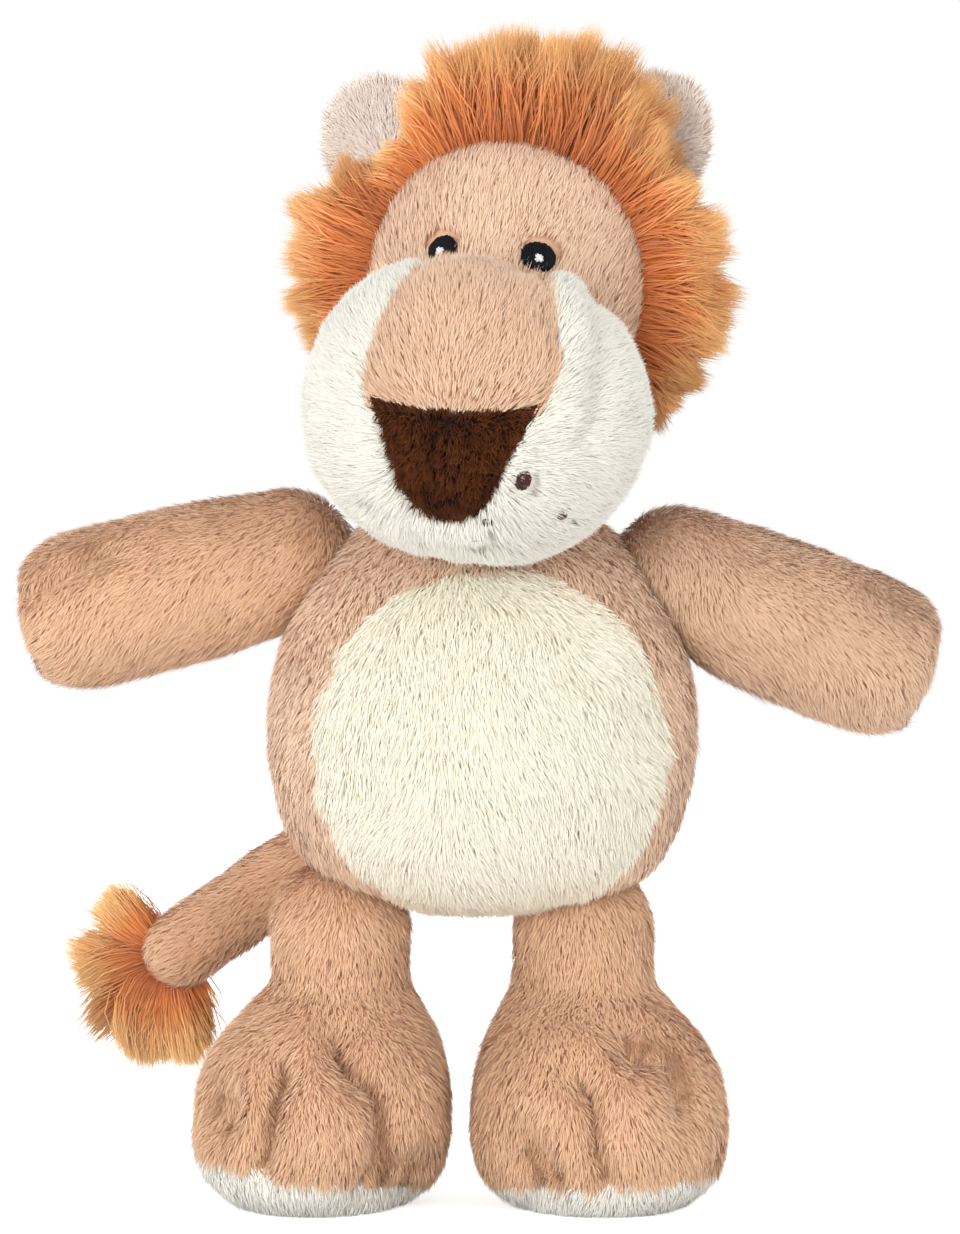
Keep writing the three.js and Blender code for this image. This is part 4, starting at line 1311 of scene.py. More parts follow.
    def regions(self, points: Points) -> tuple[np.ndarray, np.ndarray, np.ndarray]:
        """Divides the muzzle's skin.

        Args:
            points: Points of the muzzle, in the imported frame.

        Returns:
            Whether each is on the nose, on the bridge, and on the left cheek's side.
        """
        local = self.local(points)
        flat = local[:, [0, 2]] + np.stack([waver(points) for waver in self.seam_waver], 1)
        nose = within_outline(flat, self.nose_outline) & (local[:, 1] < self.muzzle_middle[1])
        nose |= self._nose_roots(points)
        bridge = within_outline(flat, self.bridge_outline) & ~nose & (local[:, 1] < -0.2 * self.skull_depth)
        return nose, bridge, local[:, 0] > self.face_middle[0]

    def on_nose(self, points: Points) -> np.ndarray:
        """Whether points of the muzzle are on the nose."""
        return self.regions(points)[0]

    def on_bridge(self, points: Points) -> np.ndarray:
        """Whether points of the muzzle are on the bridge."""
        return self.regions(points)[1]

    def on_cheek(self, points: Points, side: Side) -> np.ndarray:
        """Whether points of the muzzle are on one of the cheeks."""
        nose, bridge, left = self.regions(points)
        return (left == (side is Side.LEFT)) & ~nose & ~bridge

    def build(self, clear: Field) -> None:
        """Adds skull and muzzle with their pile.

        Args:
            clear: Whether points are clear of stitches, so that pile may grow there.
        """
        add_skin("head_skin", self.skull, Finishes.TAN_BACKING, "head", "head_cover")
        add_filling("head_filling", self.skull_outside.lifted(-self.filling_inset), "head", "head_stuffing")
        self._build_muzzle(clear)
        nap = partial(self._up_nap, fan=0.5, middle=0, width=self.skull_width, back=0.25)
        hidden = [(self.muzzle, self.overlap)]
        # Painted shade: the forehead's pile darkens round the left eye.
        Fur(Pile(), nap, clear, hidden, 41, partial(self._tucked_by_eye, share=0.4)).grow(
            "head_pile", self.skull, Finishes.BODY_PILE, "head")

    def _build_muzzle(self, clear: Field) -> None:
        """Adds the muzzle's filling and panels with their pile.

        Args:
            clear: Whether points are clear of stitches, so that pile may grow there.
        """
        add_filling(
            "muzzle_filling", self.muzzle_outside.lifted(-self.filling_inset), "head", "muzzle_stuffing")
        cheeks = {side: partial(self.on_cheek, side=side) for side in (Side.LEFT, Side.RIGHT)}
        panels = [
            ("nose", "nose_patch", self.on_nose, Finishes.BROWN_BACKING),
            ("bridge", "muzzle_bridge", self.on_bridge, Finishes.TAN_BACKING),
        ]
        panels += [
            (f"{side.word}_cheek", f"{side.word}_cheek", covers, Finishes.WHITE_BACKING)
            for side, covers in cheeks.items()
        ]
        for name, node, covers, finish in panels:
            add_patch(f"{name}_skin", self.muzzle, covers, finish, "head", node)
        up = partial(
            self._up_nap, fan=0.35, middle=self.face_middle[0], width=self.bridge_width, back=0.3)
        # Painted shade: the bridge's pile darkens round the left eye, the cheeks' pile along the seams.
        by_eye = partial(self._tucked_by_eye, share=0.6)
        piles = [
            ("nose", self.nose_pile, self._nose_nap, self._nose_roots, None, Finishes.BROWN_PILE),
            ("bridge", Pile(), up, self._both(self.on_bridge, clear), by_eye, Finishes.PALE_TAN_PILE),
        ]
        piles += [
            (f"{side.word}_cheek", self.cheek_pile, self._cheek_nap, self._both(covers, clear),
             self._tucked_at_seams, Finishes.WHITE_PILE)
            for side, covers in cheeks.items()
        ]
        for seed, (name, pile, nap, covers, tucked, finish) in enumerate(piles, start=51):
            Fur(pile, nap, covers, [(self.skull, self.overlap)], seed, tucked).grow(
                f"{name}_pile", self.muzzle, finish, "head")

    @staticmethod
    def _both(first: Field, second: Field) -> Field:
        """The region that two regions share."""
        return lambda points: first(points) & second(points)


@dataclass
class Arm:
    """One stuffed arm about its shoulder. Pairs of sizes are for the right and the left arm."""

    side: Side
    length: float = 82 * MM
    radius: float = 23 * MM
    root_radius: float = 20 * MM
    depth_share: float = 0.92
    droops: tuple[float, float] = (math.radians(14), math.radians(22))
    inset: float = 0.4 * MM
    lumps: Field = Unevenness(0.6 * MM, 20 * MM, 12)
    filling_inset: float = 5 * MM
    overlap: float = 4 * MM
    right_seam: Knots = ((-141, 184), (-131, 188.5), (-120, 194), (-109, 199))
    seam_width: float = 2.4 * MM
    seam_depth: float = 2.6 * MM
    profile: Knots = ((0.15, 0.93), (0.35, 0.98), (0.6, 1), (0.78, 0.98), (0.9, 0.88), (0.97, 0.62), (1, 0))
    pile: Pile = Pile(wander=math.radians(40))
    seeds: tuple[int, int] = (62, 61)
    finishes: tuple[Finish, Finish] = (Finishes.TAN_PILE, Finishes.PALE_TAN_PILE)

    def __post_init__(self) -> None:
        """Works out the arm's place and form."""
        self.name = f"{self.side.word}_arm"
        turn = Matrix.Rotation(self.side.value * (math.pi / 2 + self.side.of(self.droops)), 4, "Y")
        self.place = Matrix.Translation(joint_at(f"{self.name}_lift")) @ turn
        self.along = np.array(self.place)[:3, 2]
        dome = np.linspace(0, math.pi / 2, 12)
        root = np.stack([-self.root_radius * np.cos(dome), self.root_radius * np.sin(dome)], 1)
        knots = [(0, self.root_radius)] + [(s * self.length, r * self.radius) for s, r in self.profile]
        stations = np.vstack([root[:-1], smooth_curve(knots, 46)])
        route = np.stack([np.zeros(len(stations)), np.zeros(len(stations)), stations[:, 0]], 1)
        form = limb_form(route, stations[:, 1], self.depth_share, (0, 1, 0), 72)
        self.outside = form.moved(self.place)
        self.form = self.outside.lifted(self._relief)

    def _relief(self, points: Points) -> Numbers:
        """How far the skin lies off the CAD surface."""
        return self.lumps(points) - self.inset - self.seam_depth * self._seamed(points)

    def _seamed(self, points: Points) -> Numbers:
        """How near points lie to the seam that shows on the right hand."""
        if self.side is Side.LEFT:
            return np.zeros(len(points))
        away = distance_to_line(points[:, [0, 2]], np.array(self.right_seam) * MM)
        return bell(away, self.seam_width) * (points[:, 1] < self.place.translation.y)

    def _upper(self, points: Points) -> Numbers:
        """How far points lie on the arm's upper side, where the pile is shortened and darkened with painted
        shade.
        """
        upward = np.array([-self.side.value * self.along[2], 0, self.side.value * self.along[0]])
        return 0.6 * np.clip(1.6 * (points - np.array(self.place.translation)) @ upward / self.radius, 0, 1)

    def _tucked(self, points: Points, tuck: Tuck) -> Numbers:
        """How far pile is shortened and given painted shade: at the shoulder, the hand's seam and the upper
        side.
        """
        return np.max([tuck(points), 0.6 * self._seamed(points), self._upper(points)], axis=0)

    def build(self, body: Form) -> None:
        """Adds the arm's skin, filling and pile.

        Args:
            body: The form that it is sewn to.
        """
        name = self.name
        add_skin(f"{name}_skin", self.form, Finishes.TAN_BACKING, name, f"{name}_cover")
        add_filling(f"{name}_filling", self.outside.lifted(-self.filling_inset), name, f"{name}_stuffing")
        # Painted shade: the arm's pile darkens where it meets the body, along the hand's seam and on top.
        tucked = partial(self._tucked, tuck=Tuck([body], 0.8, 5 * MM))
        nap = Straight(self.along + np.array([0, 0, -0.8]))
        Fur(self.pile, nap, everywhere, [(body, self.overlap)], self.side.of(self.seeds), tucked).grow(
            f"{name}_pile", self.form, self.side.of(self.finishes), name)


@dataclass
class Leg:
    """One leg with its foot and sole, about its hip. Pairs of sizes are for the right and the left leg."""

    side: Side
    hip_height: float = 84 * MM
    radius: float = 19.5 * MM
    foot_width: float = 75 * MM
    foot_length: float = 84 * MM
    forward: float = 14 * MM
    outward: float = 3.8 * MM
    toe_outs: tuple[float, float] = (math.radians(-6), math.radians(4))
    seam_height: float = 9 * MM
    sole_seams: tuple[Knots, Knots] = (
        ((-38, 18), (-20, 17), (-12, 14), (5, 12), (18, 9.5), (30, 8), (38, 9)),
        ((-38, 8), (-25, 10), (-8, 11.5), (0, 9.5), (4, 12.5), (22, 12.5), (32, 13.5), (38, 11)),
    )
    sole_edge: Field = Unevenness(0.8 * MM, 6 * MM, 19)
    sole_lift: float = 0.3 * MM
    inset: float = 1.8 * MM
    lumps: Field = Unevenness(0.8 * MM, 18 * MM, 14)
    flat_height: float = 4 * MM
    filling_inset: float = 4 * MM
    overlap: float = 4 * MM
    crease_width: float = 2.5 * MM
    crease_depth: float = 4.5 * MM
    crease_front: float = 12 * MM
    valley_width: float = 7.5 * MM
    valley_depth: float = 5.5 * MM
    stations: Knots = (
        (0, 0.44, 0.48, 1), (0.024, 0.63, 0.67, 1), (0.077, 0.81, 0.84, 1), (0.143, 0.935, 0.945, 1),
        (0.273, 1, 1, 1), (0.44, 0.965, 0.94, 0.95), (0.54, 0.89, 0.84, 0.8), (0.62, 0.79, 0.73, 0.6),
        (0.7, 0.66, 0.59, 0.35), (0.78, 0.55, 0.48, 0.12), (0.84, 0.52, 0.465, 0.03),
    )
    creases: tuple[tuple[Knots, ...], tuple[Knots, ...]] = (
        (
            ((-57.8, 45.2), (-61.4, 36), (-63, 26.9), (-64.1, 16.9)),
            ((-43.7, 52.5), (-38.6, 45.2), (-31.9, 39.6), (-28.9, 30.4), (-28.3, 20.1), (-31.9, 10)),
            ((-20.4, 16.9), (-25, 8)), ((-76.1, 36), (-77.3, 30.4)),
        ),
        (
            ((30.1, 41.6), (32.7, 36), (33.9, 26.9), (34.5, 20)),
            ((14.7, 22.4), (17.7, 15.7), (20.4, 11)), ((36.9, 16), (36.5, 13)),
            ((43.7, 53.1), (46.6, 50.2), (51, 50.2)), ((55.5, 48.4), (60.2, 40.5), (61.4, 36)),
        ),
    )
    sole_pile: Pile = Pile(length=4.6 * MM, root_lift=math.radians(50), tip_lift=math.radians(20))
    nap: Field = Falling(Unevenness(0.4, 30 * MM, 6))
    seeds: tuple[int, int] = (73, 71)

    def __post_init__(self) -> None:
        """Works out the leg's place and form."""
        self.name = f"{self.side.word}_leg"
        hip = joint_at(f"{self.name}_swing")
        turn = Matrix.Rotation(self.side.of(self.toe_outs), 4, "Z")
        self.place = Matrix.Translation((hip.x, hip.y, 0)) @ turn
        outward = self.side.value * self.outward
        rings = [
            ring((f * outward, -f * self.forward, h * self.hip_height), w * self.foot_width / 2,
                 d * self.foot_length / 2, 110)
            for h, w, d, f in smooth_curve(self.stations, 56)
        ]
        rings += [
            ring((0, 0, self.hip_height + self.radius * math.sin(a)), self.radius * math.cos(a),
                 self.radius * math.cos(a), 110)
            for a in np.linspace(0, math.pi / 2, 12)[:-1]
        ]
        first = np.array([outward, -self.forward, 0])
        top = np.array([0, 0, self.hip_height + self.radius])
        self.outside = Form.of_rings(first, rings, top).moved(self.place)
        self.form = self.outside.lifted(self._relief)

    def _near_crease(self, points: Points, width: float) -> Numbers:
        """How near points lie to a crease between toes: 1 in it, falling off over a width."""
        front = np.clip(
            (self.place.translation.y - self.forward - points[:, 1]) / self.crease_front, 0, 1)
        near = np.zeros(len(points))
        for line in self.side.of(self.creases):
            away = distance_to_line(points[:, [0, 2]], smooth_curve(np.array(line) * MM, 12))
            near = np.maximum(near, front * bell(away, width))
        return near

    def _relief(self, points: Points) -> Numbers:
        """How far the skin lies off the CAD surface: drawn in by thread, so that toes stand out between."""
        relief = self.lumps(points) - self.inset
        relief -= self.crease_depth * self._near_crease(points, self.crease_width)
        relief -= self.valley_depth * (self._near_crease(points, self.valley_width) - 0.25)
        return relief * np.clip(points[:, 2] / self.flat_height, 0.25, 1)

    def on_sole(self, points: Points) -> np.ndarray:
        """Whether points lie on the sole, whose seam runs in waves round the toes."""
        across = points[:, 0] - self.place.translation.x - self.side.value * self.outward
        x, z = np.array(self.side.of(self.sole_seams)).T * MM
        front = np.clip((self.place.translation.y - points[:, 1]) / self.forward, 0, 1)
        seam = front * np.interp(across, x, z) + (1 - front) * self.seam_height
        return points[:, 2] < seam + self.sole_edge(points)

    def _tucked(self, points: Points, tuck: Tuck) -> Numbers:
        """How far pile is shortened and given painted shade: at the hip and in the creases."""
        return np.maximum(self._near_crease(points, self.crease_width), tuck(points))

    def build(self, body: Form) -> None:
        """Adds the leg's skin, sole, filling and pile.

        Args:
            body: The form that it is sewn to.
        """
        name, word, seed = self.name, self.side.word, self.side.of(self.seeds)
        sole = self.form.lifted(self.sole_lift)
        add_skin(f"{name}_skin", self.form, Finishes.TAN_BACKING, name, f"{name}_cover")
        add_patch(f"{word}_sole_skin", sole, self.on_sole, Finishes.CREAM_BACKING, name, f"{word}_sole")
        add_filling(f"{name}_filling", self.form.lifted(-self.filling_inset), name, f"{name}_stuffing")
        # Painted shade: the leg's pile darkens at the hip and in the toes' creases.
        tucked = partial(self._tucked, tuck=Tuck([body], 0.5, 4 * MM))
        Fur(Pile(), self.nap, lambda p: ~self.on_sole(p), [(body, self.overlap)], seed, tucked).grow(
            f"{name}_pile", self.form, Finishes.TAN_PILE, name)
        Fur(self.sole_pile, self.nap, self.on_sole, seed=seed + 1).grow(
            f"{word}_sole_pile", sole, Finishes.SOLE_PILE, name)


@dataclass
class Tail:
    """The tail, about its root."""

    radius: float = 11 * MM
    root_radius: float = 11.5 * MM
    span: float = 97 * MM
    fall: float = 57 * MM
    swing_out: float = 9 * MM
    inset: float = 0.8 * MM
    filling_inset: float = 4.5 * MM
    overlap: float = 3 * MM
    route_shares: Knots = ((0, 0, 0), (0.2, 1, 0.1), (0.6, 0.7, 0.52), (1, -0.4, 1))

    def __post_init__(self) -> None:
        """Works out the tail's form, and where it ends."""
        root = np.array(joint_at("tail_droop"))
        knots = [(-a * self.span, b * self.swing_out, -c * self.fall) for a, b, c in self.route_shares]
        route = smooth_curve(knots, 50)
        start = unit((route[1] - route[0])[None])[0]
        dome = np.linspace(0, math.pi / 2, 10)[:-1]
        lead = np.array([-start * self.root_radius * math.cos(a) for a in dome])
        pieces = np.linalg.norm(np.diff(route, axis=0), axis=1)
        left = pieces.sum() - np.concatenate([[0], np.cumsum(pieces)])
        end = np.sqrt(np.clip(1 - (np.clip(self.radius - left, 0, None) / self.radius) ** 2, 0, 1))
        radii = np.concatenate([self.root_radius * np.sin(dome), self.radius * end])
        form = limb_form(np.vstack([lead, route]), radii, 1, (0, 0, 1), 48)
        self.end = route[-1] + root
        self.axis = unit((route[-1] - route[-3])[None])[0]
        self.outside = form.moved(Matrix.Translation(root))
        self.form = self.outside.lifted(-self.inset)

    def build(self, body: Form) -> None:
        """Adds the tail's skin, filling and pile, with no pile inside the body."""
        add_skin("tail_skin", self.form, Finishes.TAN_BACKING, "tail", "tail_cover")
        add_filling("tail_filling", self.outside.lifted(-self.filling_inset), "tail", "tail_stuffing")
        Fur(Pile(length=5.5 * MM), Straight(self.axis), hidden_by=[(body, self.overlap)], seed=81).grow(
            "tail_pile", self.form, Finishes.TAN_PILE, "tail")


@dataclass(frozen=True)
class Embroidery:
    """Threads stitched side by side over a low pad, on a form. Pile leaves a clearing as wide as it says."""

    width: float
    height: float
    rise: float
    lift: float
    clearing: float
    thread: float = 0.3 * MM
    spacing: float = 0.48 * MM
    knots: int = 9

    def frame_on(self, form: Form, place: Matrix, x: float, z: float) -> Matrix:
        """Finds where the stitches go.

        Args:
            form: The form they are sewn on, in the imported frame.
            place: The frame that x and z are given in.
            x: Sideways in that frame.
            z: Upwards in that frame.

        Returns:
            A frame just off the form's surface that faces out along -Y.
        """
        _, ahead, up = place.to_3x3().transposed()
        at, normal, _, _ = form.lifted(self.lift).tree.ray_cast(place @ Vector((x, 0, z)) - ahead, ahead)
        back = -normal
        up = (up - up.dot(back) * back).normalized()
        turn = Matrix((back.cross(up), back, up)).transposed()
        return Matrix.Translation(at) @ turn.to_4x4()

    def pad(self) -> Form:
        """The low pad under the stitches."""
        return lens_form((self.width * 0.94, self.rise * 1.7, self.height * 0.94), 10, 20)

    def stitches(self) -> list[Form]:
        """Makes upright satin stitches from edge to edge."""
        count = int(self.width / self.spacing)
        rng = np.random.default_rng(count)
        turn = np.linspace(-math.pi / 2, math.pi / 2, self.knots)
        made = []
        for across in ((2 * (i + 0.5) / count - 1) * 0.97 for i in range(count)):
            tall = self.height / 2 * math.sqrt(1 - across**2) * rng.uniform(0.96, 1.06)
            out = self.rise * math.sqrt(1 - (0.8 * across) ** 2)
            x = across * self.width / 2 + rng.normal(0, 0.04 * MM)
            route = np.stack([np.full(self.knots, x), -out * np.cos(turn), tall * np.sin(turn)], 1)
            radii = np.full(self.knots, self.thread) * rng.uniform(0.9, 1.1)
            made.append(limb_form(route, radii, 1, (1, 0, 0), 6))
        return made

    def cross(self, size: float, thickness: float) -> list[Form]:
        """Makes a small cross stitch on top, of doubled threads.

        Args:
            size: Each arm's length.
            thickness: The thread's radius.

        Returns:
            The threads.
        """
        made = []
        t = np.linspace(-1, 1, 7)
        for layer, (angle, shift) in enumerate(((45, -1), (45, 1), (-45, -1), (-45, 1))):
            lean = math.radians(angle)
            along = np.array([math.cos(lean), 0, math.sin(lean)])
            aside = np.array([-math.sin(lean), 0, math.cos(lean)]) * shift * thickness * 0.9
            out = self.rise + thickness * (0.6 + 0.8 * (layer // 2)) - 0.5 * thickness * t**2
            route = along * (t[:, None] * size / 2) + aside + np.outer(-out, [0, 1, 0])
            made.append(limb_form(route, np.full(len(t), thickness), 1, (0, 1, 0), 6))
        return made


def add_stitching(node: str, forms: Iterable[Form], place: Matrix, finish: Finish) -> None:
    """Adds threads on the head as one piece, named as the CAD node that it stands for."""
    made = joined(form.moved(place).solid() for form in forms)
    add_piece(node, mesh_of(node, made), finish, "head", [node])


@dataclass
class Face:
    """The embroidered eyes with their glints, and the whisker dots: one large and the rest small."""

    head: Head
    right_eye: Embroidery = Embroidery(9.6 * MM, 9.6 * MM, rise=1.5 * MM, lift=2.2 * MM, clearing=11 * MM)
    left_eye: Embroidery = Embroidery(11 * MM, 9.6 * MM, rise=1.5 * MM, lift=2.2 * MM, clearing=11 * MM)
    right_eye_place: tuple[float, float] = (-16 * MM, 64 * MM)
    glint: float = 3.2 * MM
    glint_drop: float = 0.9 * MM
    glint_thread: float = 0.36 * MM
    large_dot: Embroidery = Embroidery(4.4 * MM, 6 * MM, rise=1.2 * MM, lift=2.6 * MM, clearing=4.4 * MM)
    small_dot: Embroidery = Embroidery(3 * MM, 3 * MM, rise=0.6 * MM, lift=2.3 * MM, clearing=3 * MM)
    dot_places: Knots = ((0.425, -0.44), (0.24, -0.745), (0.65, -0.63), (0.175, -0.865))

    def _eyes(self) -> list[tuple[Embroidery, float, float]]:
        """Each eye and where it is in the head's front view, the right one first."""
        return [(self.right_eye, *self.right_eye_place), (self.left_eye, *self.head.left_eye)]

    def _dots(self) -> list[tuple[Embroidery, float, float]]:
        """Each dot and where it is in the head's front view, the large one first."""
        x, _, z = self.head.muzzle_middle
        width, _, height = self.head.muzzle_size
        dots = [self.large_dot] + [self.small_dot] * (len(self.dot_places) - 1)
        places = [(x + across * width / 2, z + up * height / 2) for across, up in self.dot_places]
        return [(dot, *place) for dot, place in zip(dots, places)]

    def build(self) -> None:
        """Adds all the stitching of the face."""
        head = self.head
        for side, (eye, x, z) in zip(Side, self._eyes()):
            place = eye.frame_on(head.skull, head.place, x, z)
            name = f"{side.word}_eye"
            add_stitching(name, [eye.pad(), *eye.stitches()], place, Finishes.BLACK_THREAD)
            lower = place @ Matrix.Translation((0, 0, -self.glint_drop))
            shine = eye.cross(self.glint, self.glint_thread)
            add_stitching(f"{name}_glint", shine, lower, Finishes.WHITE_THREAD)
        for number, (dot, x, z) in enumerate(self._dots(), start=1):
            place = dot.frame_on(head.muzzle, head.place, x, z)
            threads = [dot.pad(), *dot.stitches()]
            add_stitching(f"whisker_dot_{number}", threads, place, Finishes.BROWN_THREAD)

    def clear_of_stitches(self, points: Points) -> np.ndarray:
        """Whether points of the head or muzzle are outside every eye and dot."""
        local = self.head.local(points)
        clear = np.ones(len(points), bool)
        for spot, x, z in self._eyes() + self._dots():
            away = ((local[:, 0] - x) / spot.clearing) ** 2 + ((local[:, 2] - z) / spot.height) ** 2
            clear &= (away > 0.3) | (local[:, 1] > 0)
        return clear


@dataclass(frozen=True)
class LongPile:
    """The strands of the mane and the tuft. The taper is their width at each inner point, as shares."""

    width: float = 0.38 * MM
    width_range: tuple[float, float] = (0.6, 1.2)
    taper: tuple[float, ...] = (0.9, 1, 0.85)
    softness: float = 0.35

    def steps(self) -> list[float]:
        """How far along a strand the middle of each of its straight pieces is, 0 to 1."""
        count = len(self.taper) + 1
        return [(k + 0.5) / count for k in range(count)]

    def widths(self, rng: np.random.Generator, count: int) -> Numbers:
        """The widths of so many strands at their inner points."""
        return self.width * rng.uniform(*self.width_range, (count, 1)) * np.array([self.taper])


@dataclass(frozen=True)
class Lock:
    """How long pile is gathered into a lock."""

    bend: float
    tilt: float
    length: float
    tone: float

    @classmethod
    def drawn(cls, rng: np.random.Generator) -> "Lock":
        """A lock of the mane, drawn at random."""
        return cls(rng.normal(0, 0.24), rng.normal(0, 0.2), rng.uniform(0.84, 1.06), rng.normal(0, 0.24))


@dataclass
class Mane:
    """A strip of long pile round the face, gathered into locks. Reaches are in millimetres by degrees."""

    head: Head
    spread: float = math.radians(130)
    front_rows: tuple[float, ...] = (-6 * MM, -1 * MM)
    back_rows: tuple[float, ...] = (5 * MM, 12 * MM)
    row_spread: float = 5.5 * MM
    crown_forward: float = 12 * MM
    lock_spacing: float = 8 * MM
    lock_overlap: float = 1.3
    strands_per_lock: int = 540
    loose_share: float = 0.3
    loose_spread: float = 2.8
    loose_length: float = 0.86
    gathering: float = 0.34
    pile: LongPile = LongPile()
    reach_by_angle: Knots = (
        (-130, 65), (-110, 70), (-95, 77), (-75, 78), (-64, 71), (-54, 60), (-42, 60), (-31, 72), (-19, 86),
        (0, 89), (15, 87), (27, 85), (36, 75), (50, 73), (62, 74), (74, 75), (90, 74), (110, 70), (130, 66),
    )
    band_width: float = 24 * MM
    band_thickness: float = 5 * MM
    band_lift: float = 0.5 * MM

    def skull_radius(self, angle: Numbers) -> Numbers:
        """The skull's outline from its middle, in the front view."""
        head = self.head
        return 1 / np.hypot(np.sin(angle) / (head.skull_width / 2), np.cos(angle) / (head.skull_height / 2))

    def reach(self, angle: Numbers) -> Numbers:
        """The mane's outline from the skull's middle, in the front view."""
        degrees, reach = np.array(self.reach_by_angle, float).T
        return np.interp(np.degrees(angle), degrees, reach) * MM

    def _out(self, angle: Numbers) -> Points:
        """The direction out from the skull's middle at each angle."""
        return np.stack([np.sin(angle), np.zeros_like(angle), np.cos(angle)], 1)

    def build(self) -> None:
        """Adds the strip and its pile."""
        angle = np.linspace(-self.spread, self.spread, 60)
        out = self._out(angle)
        route = self.head.middle + out * (self.skull_radius(angle) + self.band_lift)[:, None]
        ends = np.sqrt(np.clip(1 - np.linspace(-1, 1, 60) ** 8, 0.02, 1))
        band = limb_form(route, ends * self.band_width / 2, self.band_thickness / self.band_width, out, 24)
        add_skin("mane_strip", band.moved(self.head.place), Finishes.MANE_BACKING, "head", "mane")
        layers = (("mane_front_pile", self.front_rows, 301), ("mane_back_pile", self.back_rows, 302))
        for name, rows, seed in layers:
            rng = np.random.default_rng(seed)
            locks = [self._lock(rng, a, row) for row in rows for a in self._lock_angles(rng)]
            parts = [np.concatenate(column) for column in zip(*locks)]
            strands = Strands(*parts, softness=self.pile.softness)
            add_piece(name, strands.mesh(name), Finishes.MANE_PILE, "head")

    def _lock_angles(self, rng: np.random.Generator) -> Numbers:
        """Where the locks of one row are, unevenly spaced."""
        round_it = 2 * self.spread * self.head.skull_width * 0.54
        count = int(round_it / self.lock_spacing)
        even = np.linspace(-self.spread, self.spread, count)
        return even + rng.normal(0, 0.3 * self.spread / count, count)

    def _lock(self, rng: np.random.Generator, angle: float, row: float) -> tuple[np.ndarray, ...]:
        """Lays the strands of one lock.

        Args:
            rng: Draws its random numbers.
            angle: Where it is round the skull.
            row: Where it is from front to back.

        Returns:
            The strands' lines, widths, facings and tones.
        """
        head, n = self.head, self.strands_per_lock
        half = self.lock_spacing / head.skull_width
        lock = Lock.drawn(rng)
        loose = rng.random(n) < self.loose_share
        a = angle + rng.uniform(-1, 1, n) * np.where(loose, self.loose_spread, self.lock_overlap) * half
        y = row - self.crown_forward * np.cos(a) * np.maximum(np.cos(a), 0)
        y += rng.uniform(-1, 1, n) * self.row_spread
        skull = self.skull_radius(a) * np.sqrt(np.clip(1 - (y / (head.skull_depth / 2)) ** 2, 0, 1))
        out, tangent = self._out(a), np.stack([np.cos(a), np.zeros(n), -np.sin(a)], 1)
        aside = (a - angle) / half
        length = (self.reach(a) - skull) * lock.length * rng.uniform(0.74, 1.0, n)
        length *= np.where(loose, self.loose_length, 1 - 0.05 * aside**2)
        start = np.arctan2(y, skull) * 1.2 + rng.normal(0, 0.12, n)
        line = [head.middle + out * (skull - head.inset)[:, None] + np.outer(y, [0, 1, 0])]
        shares = self.pile.steps()
        for share in shares:
            swing = lock.bend * share * 1.6 + rng.normal(0, 0.11, n)
            swing -= np.where(loose, 0, self.gathering * aside * share)
            lean = start * (1 - 0.5 * share) + lock.tilt * share
            step = out * (np.cos(lean) * np.cos(swing))[:, None]
            step += tangent * (np.cos(lean) * np.sin(swing))[:, None] + np.outer(np.sin(lean), [0, 1, 0])
            line.append(line[-1] + step * (length / len(shares))[:, None])
        widths = self.pile.widths(rng, n)
        facing = np.tile([0.0, -1.0, 0.0], (n, 1)) + 0.5 * out + rng.normal(0, 0.3, (n, 3))
        # Painted light and shade: the tone rises on the lion's right, the viewer's left, and falls on its
        # left.
        tones = 0.6 + lock.tone - 0.1 * math.sin(angle) + rng.normal(0, 0.1, n)
        return carried(np.stack(line, 1), head.place), widths, head.directions(facing), tones


